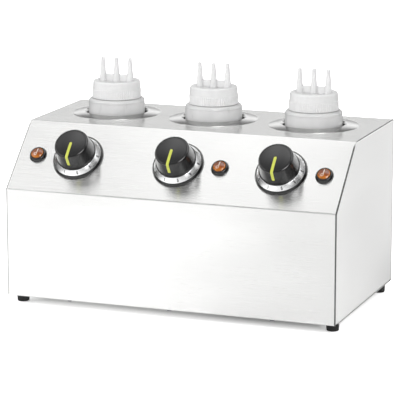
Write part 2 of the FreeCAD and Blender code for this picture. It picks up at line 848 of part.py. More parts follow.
def thermostat_screws():
    body = new_body("thermostat_screws")
    shank = ("thermostat_screw_radius", "sheet_thickness + thermostat_screw_reach", True)
    head = ("thermostat_screw_head", "thermostat_screw_head_height", False)
    for radius, reach, backwards in (shank, head):
        sketch = sketch_on(body, "XY_Plane")
        for station in stations:
            for side in sides:
                spot = f"{side} * thermostat_screw_spacing / 2"
                circle(sketch, f"{station} * station_pitch", spot, radius)
        pad(body, sketch, reach, backwards=backwards)
    place_on_slope(body, 0)


def dial_bezel(number, station):
    """Black ring on the panel, with a ledge that carries the dial."""
    body = turned(
        f"dial_bezel_{number}",
        [
            ("bezel_bore", 0),
            ("bezel_radius", 0),
            ("bezel_radius", "bezel_rim_height"),
            ("bezel_radius - bezel_bevel", "bezel_height"),
            ("dial_edge_radius", "bezel_height"),
            ("dial_edge_radius", "dial_seat"),
            ("bezel_bore", "dial_seat"),
        ],
    )
    place_on_slope(body, f"{station} * station_pitch")


def dial_face(number, station):
    """Fixed dial: a thin steep cone with a flat top under the knob."""
    edge = "dial_edge_radius - dial_fit"
    inner_top = "knob_base_radius - dial_fit + dial_thickness * dial_slant - dial_wall"
    body = turned(
        f"dial_face_{number}",
        [
            (f"{edge} - dial_wall", "dial_seat"),
            (edge, "dial_seat"),
            ("knob_base_radius - dial_fit", "dial_top_height"),
            ("dial_bore", "dial_top_height"),
            ("dial_bore", "dial_top_height - dial_thickness"),
            (inner_top, "dial_top_height - dial_thickness"),
        ],
    )
    place_on_slope(body, f"{station} * station_pitch")


def knob(number, station):
    """Moulded grip: an edge band, a tapered side, a rounded rim, and a boss inside."""
    boss = "shaft_bore + knob_boss_wall"
    roof = "knob_height - knob_wall"
    body = turned(
        f"knob_{number}",
        [
            ("shaft_bore", "knob_bottom"),
            (boss, "knob_bottom"),
            (boss, roof),
            ("knob_top_radius - knob_wall", roof),
            ("knob_skirt_radius - knob_wall", "knob_bottom"),
            ("knob_base_radius", "knob_bottom"),
            ("knob_base_radius", "knob_skirt_level"),
            ("knob_skirt_radius", "knob_skirt_level"),
            ("knob_top_radius", "knob_height", "knob_rim_radius"),
            (0, "knob_height"),
            (0, "knob_socket_top"),
            ("shaft_bore", "knob_socket_top"),
        ],
    )
    half = "pointer_width / 2"
    outside = "knob_base_radius + cut_overrun"
    sketch = sketch_on(body, "XY_Plane", "knob_height")
    outline(
        sketch,
        [
            (f"-{half}", f"-({outside})"),
            (half, f"-({outside})"),
            (half, "pointer_start", f"{half} - pointer_fit"),
            (f"-{half}", "pointer_start", f"{half} - pointer_fit"),
        ],
    )
    pocket(body, sketch, "pointer_depth")
    sketch = sketch_on(body, "YZ_Plane")
    outline(
        sketch,
        [
            ("pointer_depth - pointer_foot_radius", "pointer_foot_height"),
            ("pointer_depth - knob_top_radius", "knob_height"),
            (f"-({outside})", "knob_height"),
            (f"-({outside})", "pointer_foot_height"),
        ],
    )
    pocket(body, sketch, "pointer_width", both_ways=True)
    place_on_slope(body, f"{station} * station_pitch")


def pointer(number, station):
    """Bright insert in the knob's groove, from the middle of the top down the side."""
    body = new_body(f"pointer_{number}")
    sketch = sketch_on(body, "YZ_Plane")
    floor = "pointer_depth - pointer_fit"
    crown = "knob_height + pointer_proud"
    outline(
        sketch,
        [
            ("pointer_start - pointer_fit", crown),
            ("-knob_top_radius - pointer_proud", crown, "knob_rim_radius"),
            ("-pointer_foot_radius - pointer_proud", "pointer_foot_height + pointer_fit"),
            (f"{floor} - pointer_foot_radius", "pointer_foot_height + pointer_fit"),
            (f"{floor} - knob_top_radius - knob_taper * ({floor})", f"knob_height - ({floor})"),
            ("pointer_start - pointer_fit", f"knob_height - ({floor})"),
        ],
    )
    strip = pad(body, sketch, "pointer_width - 2 * pointer_fit", both_ways=True)
    reach = value("pointer_start - pointer_fit")
    low, high = value(f"knob_height - ({floor})"), value(crown)
    slack = value("pointer_fit") / 2
    ends = edges_where(strip, lambda point: abs(point.y - reach) < slack)
    upright = [name for name in ends if abs(strip.getSubObject(name).Length - (high - low)) < slack]
    rounded = body.newObject("PartDesign::Fillet", "Fillet")
    rounded.Base = (strip, upright)
    bind(rounded, "Radius", "pointer_width / 2 - 2 * pointer_fit")
    document.recompute()
    place_on_slope(body, f"{station} * station_pitch")


def knob_shaft(number, station):
    """Thermostat shaft, with the flat that keys the knob."""
    body = new_body(f"knob_shaft_{number}")
    sketch = sketch_on(body, "XY_Plane", "-shaft_depth")
    circle(sketch, 0, 0, "shaft_radius")
    pad(body, sketch, "shaft_depth + knob_socket_top - pointer_fit")
    sketch = sketch_on(body, "XY_Plane", "shaft_flat_start")
    flat = "shaft_radius - shaft_flat"
    outline(sketch, rectangle("-shaft_bore", flat, "shaft_bore", "shaft_bore"))
    pocket(body, sketch, "knob_socket_top - shaft_flat_start", backwards=True)
    place_on_slope(body, f"{station} * station_pitch")


def lamp_bezel(number, station):
    """Black lamp body: a domed rim on the panel, a barrel through it and two terminals."""
    base = "-lamp_barrel_depth"
    body = turned(
        f"lamp_bezel_{number}",
        [
            (0, base),
            ("lamp_barrel_radius", base),
            ("lamp_barrel_radius", 0),
            ("lamp_radius", 0),
            ("lamp_radius", "lamp_edge"),
            ("lamp_radius - lamp_bevel", "lamp_height", "lamp_edge"),
            ("lens_radius + lens_fit", "lamp_height"),
            ("lens_radius + lens_fit", "lens_seat"),
            ("lamp_bore", "lens_seat"),
            ("lamp_bore", f"{base} + lamp_barrel_wall"),
            (0, f"{base} + lamp_barrel_wall"),
        ],
    )
    sketch = sketch_on(body, "XY_Plane", base)
    for side in sides:
        middle = f"{side} * lamp_blade_pitch / 2"
        half, thin = "lamp_blade_width / 2", "blade_thickness / 2"
        outline(sketch, rectangle(f"{middle} - {thin}", f"-{half}", f"{middle} + {thin}", half))
    pad(body, sketch, "lamp_blade_length", backwards=True)
    place_on_slope(body, lamp_place(station))


def lamp_lens(number, station):
    """Clear amber cap, domed and hollow."""
    top = "lamp_height + lens_dome"
    body = turned(
        f"lamp_lens_{number}",
        [
            ("lens_radius - lens_wall", "lens_seat"),
            ("lens_radius", "lens_seat"),
            ("lens_radius", top, "lens_dome + lens_wall"),
            (0, top),
            (0, f"{top} - lens_wall"),
            ("lens_radius - lens_wall - lens_bevel", f"{top} - lens_wall"),
            ("lens_radius - lens_wall", f"{top} - lens_wall - lens_bevel"),
        ],
    )
    place_on_slope(body, lamp_place(station))


def lamp_nuts():
    body = new_body("lamp_nuts")
    sketch = sketch_on(body, "XY_Plane", "-sheet_thickness")
    for station in stations:
        outline(sketch, hexagon("lamp_nut_flats", lamp_place(station)))
        circle(sketch, lamp_place(station), 0, "lamp_barrel_radius + screw_clearance")
    pad(body, sketch, "lamp_nut_height", backwards=True)
    place_on_slope(body, 0)


def neon_lamps():
    """The glow tubes, standing on the floor of each lamp's barrel."""
    body = new_body("neon_lamps")
    sketch = sketch_on(body, "XY_Plane", "lamp_barrel_wall - lamp_barrel_depth")
    for station in stations:
        circle(sketch, lamp_place(station), 0, "neon_radius")
    pad(body, sketch, "neon_length")
    place_on_slope(body, 0)


def bottle(number, station):
    """Blown squeeze bottle with a rounded shoulder and a short neck."""
    wall_radius, neck_bore = "bottle_radius - bottle_wall", "neck_radius - neck_wall"
    body = turned(
        f"bottle_{number}",
        [
            (0, 0),
            ("bottle_radius", 0, "bottle_foot_radius"),
            ("bottle_radius", "shoulder_top", "shoulder_radius"),
            ("neck_radius", "shoulder_top"),
            ("neck_radius", "neck_top"),
            (neck_bore, "neck_top"),
            (neck_bore, "shoulder_top - bottle_wall"),
            (f"{wall_radius} - shoulder_bevel", "shoulder_top - bottle_wall"),
            (wall_radius, "shoulder_top - bottle_wall - shoulder_bevel"),
            (wall_radius, "bottle_wall + bottle_foot_bevel"),
            (f"{wall_radius} - bottle_foot_bevel", "bottle_wall"),
            (0, "bottle_wall"),
        ],
    )
    place_at_well(body, station, "bottle_level")


def bottle_cap(number, station):
    """One-piece cap: ribbed skirt, dished top, and three hollow tips joined by a web."""
    body = turned(
        f"bottle_cap_{number}",
        [
            (0, "cap_ceiling"),
            ("skirt_inner", "cap_ceiling"),
            ("skirt_inner", 0),
            ("rib_radius", 0),
            ("rib_radius", "rib_height"),
            ("skirt_outer", "rib_height + rib_bevel"),
            ("skirt_outer - cap_draft", "cap_height", "cap_edge_radius"),
            ("recess_radius", "cap_height"),
            ("recess_radius", "recess_floor"),
            (0, "recess_floor"),
        ],
    )
    sketch = sketch_on(body, "XY_Plane")
    groove_end = "rib_radius + cut_overrun"
    corners = rectangle("skirt_outer", "-rib_groove / 2", groove_end, "rib_groove / 2")
    outline(sketch, corners)
    groove = pocket(body, sketch, "rib_height + rib_bevel", backwards=True)
    grooves = body.newObject("PartDesign::PolarPattern", "Grooves")
    grooves.Originals = [groove]
    grooves.Axis = (sketch, ["N_Axis"])
    grooves.Angle = 360
    bind(grooves, "Occurrences", "rib_count")
    body.Tip = grooves
    document.recompute()
    sketch = sketch_on(body, "XY_Plane", "recess_floor")
    half = "web_thickness / 2"
    outline(sketch, rectangle("-tip_pitch", f"-{half}", "tip_pitch", half))
    pad(body, sketch, "recess_depth + web_height")
    for place_number in stations:
        across = f"{place_number} * tip_pitch"
        tall = "recess_depth + tip_height"
        cone(body, "Additive", across, "recess_floor", "tip_base_radius", "tip_top_radius", tall)
    for place_number in stations:
        across = f"{place_number} * tip_pitch"
        low = "cap_ceiling - cut_overrun"
        tall = "cap_height + tip_height - cap_ceiling + 2 * cut_overrun"
        cone(body, "Subtractive", across, low, "tip_bore_base", "tip_bore_top", tall)
    place_at_well(body, station, "cap_level")


def place_at_gland(body):
    return place(body, "gland_across", "housing_depth - middle_depth", "foot_height + gland_level", "-90")


def gland_body():
    """Cord gland: hexagon outside the rear wall, threaded ends in and out, seal seat."""
    body = new_body("gland_body")
    sketch = sketch_on(body, "XY_Plane")
    outline(sketch, hexagon("gland_flats"))
    pad(body, sketch, "gland_hex_height")
    for length, backwards in (("gland_outer_end", False), ("gland_inner_length", True)):
        sketch = sketch_on(body, "XY_Plane")
        circle(sketch, 0, 0, "gland_thread_radius")
        pad(body, sketch, length, backwards=backwards)
    sketch = sketch_on(body, "XY_Plane", "gland_outer_end")
    circle(sketch, 0, 0, "gland_bore_radius")
    pocket(body, sketch, "gland_outer_end + gland_inner_length + cut_overrun")
    sketch = sketch_on(body, "XY_Plane", "gland_outer_end")
    circle(sketch, 0, 0, "gland_seal_radius")
    pocket(body, sketch, "gland_seal_depth")
    place_at_gland(body)


def gland_seal():
    outer = "gland_seal_radius - gland_seal_fit"
    low = "gland_outer_end - gland_seal_depth"
    high = "gland_outer_end + gland_seal_stand"
    body = turned("gland_seal", rectangle("cord_radius", low, outer, high))
    place_at_gland(body)


def gland_dome_nut():
    bore = "gland_thread_radius + gland_seal_fit"
    body = turned(
        "gland_dome_nut",
        [
            (bore, "gland_hex_height + dome_gap"),
            ("dome_radius", "gland_hex_height + dome_gap"),
            ("dome_radius", "dome_end", "dome_round"),
            ("dome_mouth_radius", "dome_end"),
            ("dome_mouth_radius", "gland_stand"),
            (bore, "gland_stand"),
        ],
    )
    place_at_gland(body)


def gland_locknut():
    body = new_body("gland_locknut")
    sketch = sketch_on(body, "XY_Plane", "-sheet_thickness")
    outline(sketch, hexagon("gland_flats"))
    circle(sketch, 0, 0, "gland_hole")
    pad(body, sketch, "gland_locknut_height", backwards=True)
    place_at_gland(body)


def terminal_block():
    """Three-pole block on the base, with wire holes through and a clamp screw over each."""
    body = place(
        new_body("terminal_block"),
        "block_across",
        "block_setback - middle_depth",
        "foot_height + sheet_thickness",
    )
    half_width, half_length = "block_width / 2", "block_length / 2"
    sketch = sketch_on(body, "XY_Plane")
    corners = rectangle(f"-{half_width}", f"-{half_length}", half_width, half_length, "block_corner")
    outline(sketch, corners)
    pad(body, sketch, "block_height")
    sketch = sketch_on(body, "XZ_Plane")
    for pole in stations:
        circle(sketch, f"{pole} * block_pitch", "block_wire_level", "block_wire_radius")
    pocket(body, sketch, "block_length + cut_overrun", both_ways=True)
    sketch = sketch_on(body, "XY_Plane", "block_height")
    for pole in stations:
        circle(sketch, f"{pole} * block_pitch", 0, "block_screw_radius")
    pocket(body, sketch, "block_screw_depth")


housing_wrap()
side_panel("left", -1)
side_panel("right", 1)
base_plate()
for foot_row, foot_setback in zip(("front", "rear"), foot_setbacks()):
    for foot_end, foot_side in (("left", -1), ("right", 1)):
        foot(f"{foot_row}_{foot_end}", foot_side, foot_setback)
foot_screws()
base_screws()
gland_body()
gland_seal()
gland_dome_nut()
gland_locknut()
terminal_block()
for station_number, place_along in enumerate(stations, start=1):
    well(station_number, place_along)
    heater_band(station_number, place_along)
    sensor_probe(station_number, place_along)
    thermostat(station_number, place_along)
    dial_bezel(station_number, place_along)
    dial_face(station_number, place_along)
    knob(station_number, place_along)
    pointer(station_number, place_along)
    knob_shaft(station_number, place_along)
    lamp_bezel(station_number, place_along)
    lamp_lens(station_number, place_along)
    bottle(station_number, place_along)
    bottle_cap(station_number, place_along)
band_screws()
thermostat_screws()
lamp_nuts()
neon_lamps()
document.recompute()

for item in document.Objects:
    if {"Invalid", "Error"} & set(item.State):
        raise RuntimeError(f"{item.Name} ({item.Label}) has failed: {item.State}")
for piece in pieces:
    if piece.Shape.isNull() or not piece.Shape.isValid() or not piece.Shape.Solids:
        raise RuntimeError(f"{piece.Label} has no valid solid")

os.makedirs("parts", exist_ok=True)
for piece in pieces:
    piece.Shape.exportStep(f"parts/{piece.Label}.step")
    print(piece.Label, len(piece.Shape.Solids), "solids", round(piece.Shape.Volume), "mm3")
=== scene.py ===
import json
import math

import bmesh
import bpy
import numpy as np
from mathutils import Matrix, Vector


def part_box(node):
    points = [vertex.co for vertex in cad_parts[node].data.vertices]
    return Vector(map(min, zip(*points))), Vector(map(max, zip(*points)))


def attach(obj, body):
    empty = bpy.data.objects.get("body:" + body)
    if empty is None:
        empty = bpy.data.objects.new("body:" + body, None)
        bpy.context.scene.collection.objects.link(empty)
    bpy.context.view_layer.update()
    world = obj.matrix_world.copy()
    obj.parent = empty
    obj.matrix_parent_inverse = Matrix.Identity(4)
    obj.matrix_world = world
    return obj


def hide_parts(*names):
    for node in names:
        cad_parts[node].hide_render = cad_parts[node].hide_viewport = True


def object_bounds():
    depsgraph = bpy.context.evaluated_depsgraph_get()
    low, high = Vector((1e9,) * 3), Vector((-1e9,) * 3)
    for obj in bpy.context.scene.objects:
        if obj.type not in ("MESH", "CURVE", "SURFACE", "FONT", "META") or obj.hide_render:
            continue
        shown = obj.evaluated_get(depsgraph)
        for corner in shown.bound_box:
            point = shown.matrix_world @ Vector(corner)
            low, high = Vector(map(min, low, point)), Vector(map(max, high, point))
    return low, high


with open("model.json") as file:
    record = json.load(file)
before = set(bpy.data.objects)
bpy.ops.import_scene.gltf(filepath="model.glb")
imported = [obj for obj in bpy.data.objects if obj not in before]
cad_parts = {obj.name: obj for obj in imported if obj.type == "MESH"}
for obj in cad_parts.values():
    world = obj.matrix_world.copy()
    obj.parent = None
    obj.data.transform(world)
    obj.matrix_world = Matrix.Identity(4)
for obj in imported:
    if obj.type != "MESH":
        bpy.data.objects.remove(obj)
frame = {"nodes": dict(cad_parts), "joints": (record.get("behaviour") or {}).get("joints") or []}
nodes = frame["nodes"]
joints = {joint["name"]: joint for joint in frame["joints"]}
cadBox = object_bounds()
stationNumbers = (1, 2, 3)
print("frame loaded:", len(nodes), "nodes")

# The control slope's own directions: out of the sheet and up the slope
slopeNormal = -np.array(joints["knob_turn_1"]["axis"], dtype=float)
slopeNormal /= np.linalg.norm(slopeNormal)
slopeUp = np.cross(slopeNormal, (1, 0, 0))
slopeAxes = {"across": (1, 0, 0), "back": slopeUp, "up": slopeNormal}


# sRGB hex to linear values
def linearFromHex(text):
    shares = [int(text[i:i + 2], 16) / 255 for i in (1, 3, 5)]
    return [s / 12.92 if s <= 0.04045 else ((s + 0.055) / 1.055) ** 2.4 for s in shares] + [1.0]


# One node with its settings. Its inputs are given by name, or in their order from the first. One
# that is a socket is linked, one that is a node is linked by its first output, any other is set.
def addNode(tree, kind, inputs=(), **settings):
    node = tree.nodes.new(kind)
    for name, setting in settings.items():
        setattr(node, name, setting)
    for name, given in inputs.items() if isinstance(inputs, dict) else enumerate(inputs):
        socket = node.inputs[name]
        if isinstance(given, bpy.types.Node):
            given = given.outputs[0]
        if isinstance(given, bpy.types.NodeSocket):
            tree.links.new(given, socket)
        else:
            socket.default_value = given
    return node


# The emptied node tree of a material or of the world
def emptyTree(owner):
    owner.use_nodes = True
    owner.node_tree.nodes.clear()
    return owner.node_tree


# A new thing in the scene, of a mesh, lamp, camera or text
def addThing(name, data):
    thing = bpy.data.objects.new(name, data)
    bpy.context.scene.collection.objects.link(thing)
    return thing


# Most of a noise's values lie between these, so tones and roughness run over them
noiseSpan = (0.3, 0.7)


# A whole finish from its look: a grain of a real size in millimetres gives the colour between two
# tones, the roughness between two values and the relief. Larger clouds may dim the colour, a
# direction of brushing or a turning axis says which way reflections spread, and a share painted
# on the mesh may lead to a second pair of tones and a second roughness. Mix nodes take sockets by
# number: 0 is the share, 2 and 3 are values, 6 and 7 are colours.
def grainedFinish(name, look, values=None):
    material = bpy.data.materials.new(name)
    tree = emptyTree(material)
    place = addNode(tree, "ShaderNodeTexCoord").outputs["Object"]

    patterns = {"grain": (look["grain"], look.get("stretch", (1, 1, 1)), look.get("detail", 3.0))}
    if "clouds" in look:
        patterns["clouds"] = (*look["clouds"][:2], 2.0)
    noises = {}
    for label, (size, stretch, detail) in patterns.items():
        if "ringed" in look:
            radius = addNode(tree, "ShaderNodeAttribute", attribute_name="turnRadius").outputs["Fac"]
            turn = addNode(tree, "ShaderNodeMath", (radius, 1 / size), operation="MULTIPLY")
            spot, dimensions = {"W": turn}, "1D"
        else:
            scale = [1000 / size * factor for factor in stretch]
            moved = addNode(tree, "ShaderNodeMapping", {"Vector": place, "Scale": scale})
            spot, dimensions = {"Vector": moved}, "3D"
        inputs = {**spot, "Scale": 1.0, "Detail": detail}
        noises[label] = addNode(tree, "ShaderNodeTexNoise", inputs, noise_dimensions=dimensions)
    grain = noises["grain"]
    toned = {"grain": (grain, look["tones"])}
    if "clouds" in look:
        toned["clouds"] = (noises["clouds"], look["clouds"][2])
    if "painted" in look:
        toned["painted"] = (grain, look["painted"][1])
    colours = {}
    for label, (share, tones) in toned.items():
        ramp = addNode(tree, "ShaderNodeValToRGB", {"Fac": share})
        for element, position, tone in zip(ramp.color_ramp.elements, noiseSpan, tones):
            element.position, element.color = position, linearFromHex(tone)
        colours[label] = ramp
    colour = colours["grain"]
    low, high = look["roughness"]
    rough = addNode(tree, "ShaderNodeMapRange", (grain, *noiseSpan, low, high))
    if "clouds" in look:
        inputs = {0: 1.0, 6: colour, 7: colours["clouds"]}
        mix = addNode(tree, "ShaderNodeMix", inputs, data_type="RGBA", blend_type="MULTIPLY")
        colour = mix.outputs[2]
    if "painted" in look:
        share = addNode(tree, "ShaderNodeAttribute", attribute_name=look["painted"][0]).outputs["Fac"]
        inputs = {0: share, 6: colour, 7: colours["painted"]}
        colour = addNode(tree, "ShaderNodeMix", inputs, data_type="RGBA").outputs[2]
        rough = addNode(tree, "ShaderNodeMix", {0: share, 2: rough, 3: look["painted"][2]})
    looks = {**(values or {}), "Base Color": colour, "Roughness": rough}
    if "relief" in look:
        inputs = {"Height": grain, "Distance": look["relief"] * 0.001}
        looks["Normal"] = addNode(tree, "ShaderNodeBump", inputs)
    if "spread" in look:
        # reflections spread across the scratches, so along their direction crossed with the
        # surface's normal. On turned metal the axis crossed with the normal gives that direction.
        normal = addNode(tree, "ShaderNodeNewGeometry").outputs["Normal"]
        axis = look["spread"]
        spread = addNode(tree, "ShaderNodeVectorMath", (normal, axis), operation="CROSS_PRODUCT")
        if "ringed" in look:
            spread = addNode(tree, "ShaderNodeVectorMath", (spread, normal), operation="CROSS_PRODUCT")
        looks["Tangent"] = spread
    shader = addNode(tree, "ShaderNodeBsdfPrincipled", looks)
    addNode(tree, "ShaderNodeOutputMaterial", {"Surface": shader})
    return material, tree, shader, colour


# Stainless sheet of the wrap, brushed from side to side: a light metal whose fine scratches blur
# what it mirrors up and down. They are about 0.1 mm wide, drawn at 0.8 mm so that they show.
brushedSheet, tree, shader, colour = grainedFinish("stainlessBrushedSheet", {
    "grain": 0.8, "stretch": (0.012, 1, 1), "detail": 4.0,
    "tones": ("#ededec", "#f8f8f7"), "roughness": (0.24, 0.28), "relief": 0.002,
    "clouds": (70, (0.4, 1, 1), ("#f6f6f6", "#ffffff")), "spread": (1, 0, 0),
}, {"Metallic": 1.0, "Anisotropic": 0.95})
# Its sheared edges are darkened, partly the real dark of the cut and partly painted seam shade:
# darkest at the right, greyer at the left and along the foot of the front, pale on top. Lengths are metres in
# from the sheet's edges.
cutEdgeShade = {
    "end": (0.0016, 0.0014), "foot": (0.0008, 0.0006), "top": (0.006, 0.002), "right": (0.0017, 0.0016),
    "leftTone": 0.42, "rightTone": 0.14, "topTone": 0.85,
}
wrapFoot = float(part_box("housing_wrap")[0][2])
wrapEnd, wrapTop = (float(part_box("housing_wrap")[1][axis]) for axis in (0, 2))
place = addNode(tree, "ShaderNodeTexCoord").outputs["Object"]
parts = addNode(tree, "ShaderNodeSeparateXYZ", [place]).outputs
reach = addNode(tree, "ShaderNodeMath", [parts["X"]], operation="ABSOLUTE")
cutEnd = addNode(tree, "ShaderNodeMapRange", (reach, *(wrapEnd - inset for inset in cutEdgeShade["end"])))
cutFoot = addNode(tree, "ShaderNodeMapRange", (parts["Z"], *(wrapFoot + inset for inset in cutEdgeShade["foot"])))
cut = addNode(tree, "ShaderNodeMath", (cutEnd, cutFoot), operation="MAXIMUM")
span = [wrapEnd - inset for inset in cutEdgeShade["right"]]
sideTone = addNode(tree, "ShaderNodeMapRange", (parts["X"], *span, cutEdgeShade["leftTone"], cutEdgeShade["rightTone"]))
span = [wrapTop - inset for inset in cutEdgeShade["top"]]
cutTone = addNode(tree, "ShaderNodeMapRange", (parts["Z"], *span, sideTone, cutEdgeShade["topTone"]))
# the sheet's colour gives way to the painted seam shade over the cut edges
seamShaded = addNode(tree, "ShaderNodeMix", {0: cut, 6: colour, 7: cutTone}, data_type="RGBA")
tree.links.new(seamShaded.outputs[2], shader.inputs["Base Color"])

# The same sheet on the side covers, brushed from front to back
brushedSide = grainedFinish("stainlessBrushedSide", {
    "grain": 0.8, "stretch": (1, 0.012, 1), "detail": 4.0,
    "tones": ("#ebebea", "#f1f1f0"), "roughness": (0.22, 0.25), "relief": 0.001,
    "clouds": (90, (1, 0.4, 1), ("#f6f6f6", "#ffffff")), "spread": (0, 1, 0),
}, {"Metallic": 1.0, "Anisotropic": 1.0})[0]

# Cold rolled stainless of the base: duller, with the faint cloud of the mill finish
millSheet = grainedFinish("stainlessMillFinish", {
    "grain": 25, "stretch": (0.5, 1, 1), "detail": 4.0,
    "tones": ("#b9bab9", "#c9c9c8"), "roughness": (0.32, 0.45),
}, {"Metallic": 1.0})[0]

# Spun stainless of the wells: greyer than the sheet and glossier, with fine rings from the lathe.
# The rings are about 0.2 mm apart, drawn at 0.8 mm so that they show.
spunWell = grainedFinish("stainlessSpunRings", {
    "grain": 0.8, "ringed": True, "tones": ("#9f9f9e", "#b3b3b2"), "roughness": (0.18, 0.24),
    "spread": (0, 0, 1),
}, {"Metallic": 1.0, "Anisotropic": 0.2})[0]

# Zinc plated steel of the screws: bluish grey with small crystals
zincSteel = grainedFinish("steelZincPlated", {
    "grain": 0.8, "detail": 2.0, "tones": ("#a9adb0", "#c9ccce"), "roughness": (0.25, 0.4),
}, {"Metallic": 1.0})[0]

# Phosphated steel of the base screws: dull mid grey with an uneven crystal coat
greySteel = grainedFinish("steelPhosphated", {
    "grain": 1.2, "detail": 3.0, "tones": ("#77787a", "#8e8f91"), "roughness": (0.4, 0.55),
}, {"Metallic": 1.0})[0]

# Steel cover of the band heaters: darkened by heat to straw
heatSteel = grainedFinish("steelHeatTinted", {
    "grain": 18, "detail": 4.0, "tones": ("#9b9690", "#b9aa8c"), "roughness": (0.3, 0.5),
}, {"Metallic": 1.0})[0]

# Drawn copper of bulbs and capillaries: salmon red with brown oxide
drawnCopper = grainedFinish("copperDrawn", {
    "grain": 3, "stretch": (1, 1, 0.2), "detail": 4.0,
    "tones": ("#d49a7c", "#a76b4c"), "roughness": (0.25, 0.42),
}, {"Metallic": 1.0})[0]

# Phenolic of the thermostat cases: dark brown with pale filler specks
phenolic = grainedFinish("phenolicMoulded", {
    "grain": 0.7, "tones": ("#2a1c16", "#4b3427"), "roughness": (0.4, 0.6),
})[0]

# Black nylon of the gland and nuts: matt, with the 0.4 mm grain of an eroded mould
blackNylon = grainedFinish("nylonBlackMoulded", {
    "grain": 0.4, "tones": ("#141415", "#222324"), "roughness": (0.42, 0.58), "relief": 0.02,
}, {"IOR": 1.53})[0]

# Natural nylon of the terminal block: warm white, slightly waxy
whiteNylon = grainedFinish("nylonNaturalMoulded", {
    "grain": 1.2, "tones": ("#dcd8cc", "#e9e6dd"), "roughness": (0.35, 0.5),
}, {"IOR": 1.53})[0]

# Rubber of the feet and the seal: black, dull, with dust in its pores
blackRubber = grainedFinish("rubberMoulded", {
    "grain": 0.6, "detail": 4.0, "tones": ("#111111", "#222222"), "roughness": (0.55, 0.75), "relief": 0.03,
}, {"IOR": 1.5})[0]

# Glass of the glow lamps: clear, warmed by the neon inside
neonGlass = grainedFinish("glassNeonTube", {
    "grain": 1.5, "tones": ("#ffb27a", "#ff7a33"), "roughness": (0.05, 0.12),
}, {"IOR": 1.47, "Emission Strength": 0.4, "Emission Color": linearFromHex("#ff7a33")})[0]

# ABS of the bezels: deep black from a polished mould, with a trace of orange peel of 2.5 mm
glossBlack = grainedFinish("absBlackPolished", {
    "grain": 2.5, "detail": 1.5, "tones": ("#0a0a0b", "#121213"), "roughness": (0.14, 0.2), "relief": 0.008,
}, {"IOR": 1.54})[0]

# ABS of the knobs: black satin. On the rim and the foot, where the painted share is 1, it is polished and
# painted darker as painted shade.
# The mould grain is about 0.15 mm, drawn at 0.5 mm so that it shows.
knobBlack = grainedFinish("absBlackSatin", {
    "grain": 0.5, "tones": ("#0e0e0f", "#1a1a1b"), "roughness": (0.18, 0.22), "relief": 0.008,
    "painted": ("polishAndShadeShare", ("#060606", "#0b0b0b"), 0.1),
}, {"IOR": 1.56})[0]

# Aluminium of the dials, turned and anodised: silver, with rings about 0.1 mm apart drawn at 0.7
turnedDial = grainedFinish("aluminiumTurnedAnodised", {
    "grain": 0.7, "ringed": True, "tones": ("#e4e5e6", "#f4f4f4"), "roughness": (0.22, 0.3),
    "spread": tuple(slopeNormal),
}, {"Metallic": 1.0, "Anisotropic": 0.3})[0]

# Printed black ink of the dial's numbers, thin enough to show uneven cover
dialInk = grainedFinish("inkScreenPrinted", {
    "grain": 0.6, "tones": ("#1b1b1c", "#38393b"), "roughness": (0.4, 0.6),
}, {"IOR": 1.45})[0]

# Lime acrylic of the pointers: yellow green with faint flow marks, moulded glossy. A faint painted glow,
# given as light of its own, brightens it.
limeAcrylic = grainedFinish("acrylicLimeMoulded", {
    "grain": 4, "detail": 2.0, "tones": ("#b5bb3e", "#c2c74a"), "roughness": (0.16, 0.24),
}, {"IOR": 1.49, "Emission Strength": 0.2, "Emission Color": linearFromHex("#dde281")})[0]

# Amber polycarbonate of the lenses, with light and shade painted into its colour: orange downhill, painted as
# light coming back from the wall;
# red brown uphill under a painted pale reflection; painted dark at the rim as shade; and mottled by the
# prisms inside.
# A pale loop and stroke, shaped as the glow tube showing through, are a painted highlight.
amberLens, tree, shader, colour = grainedFinish("polycarbonateAmber", {
    "grain": 1.6, "tones": ("#bcbcbc", "#ffffff"), "roughness": (0.06, 0.1),
}, {"IOR": 1.58})
lensLightShare = addNode(tree, "ShaderNodeAttribute", attribute_name="lensLightShare").outputs["Fac"]
ramp = addNode(tree, "ShaderNodeValToRGB", {"Fac": lensLightShare})
stops = ramp.color_ramp.elements
stops[0].position, stops[0].color = 0.0, linearFromHex("#8a6455")
stops[1].position, stops[1].color = 1.0, linearFromHex("#2c0f07")
for position, tone in ((0.25, "#8c4f33"), (0.5, "#ac5514"), (0.8, "#ea8a1c")):
    stops.new(position).color = linearFromHex(tone)
inputs = {0: 1.0, 6: ramp, 7: colour}
blend = addNode(tree, "ShaderNodeMix", inputs, data_type="RGBA", blend_type="MULTIPLY")
glowHighlightShare = addNode(tree, "ShaderNodeAttribute", attribute_name="glowHighlightShare").outputs["Fac"]
inputs = {0: glowHighlightShare, 6: blend.outputs[2], 7: linearFromHex("#f3e2d2")}
lit = addNode(tree, "ShaderNodeMix", inputs, data_type="RGBA")
tree.links.new(lit.outputs[2], shader.inputs["Base Color"])

# Low density polyethylene: milky and waxy. A clear skin, set as a faintly tinted coat, takes more
# light where the eye looks along it, which draws soft grey outlines.
milkyValues = {
    "IOR": 1.51, "Subsurface Weight": 0.35, "Subsurface Radius": (1.0, 1.0, 1.0),
    "Subsurface Scale": 0.003, "Coat Weight": 1.0, "Coat IOR": 1.03, "Coat Roughness": 0.3,
}
# Blown for the bottles: greyer, because the wall is thin, with long faint waves
blownBottle = grainedFinish("polyethyleneBlown", {
    "grain": 16, "stretch": (1, 1, 0.4), "detail": 2.0, "tones": ("#eaeaea", "#f2f2f2"),
    "roughness": (0.26, 0.36), "relief": 0.12,
}, {**milkyValues, "Coat Tint": linearFromHex("#f2f2f2")})[0]

# Injection moulded for the caps: whiter, thicker and crisper
mouldedCap = grainedFinish("polyethyleneMoulded", {
    "grain": 5, "detail": 2.0, "tones": ("#f8f8f8", "#fcfcfc"), "roughness": (0.28, 0.36),
}, {**milkyValues, "Coat Tint": linearFromHex("#f6f6f6")})[0]
print("finishes ready")


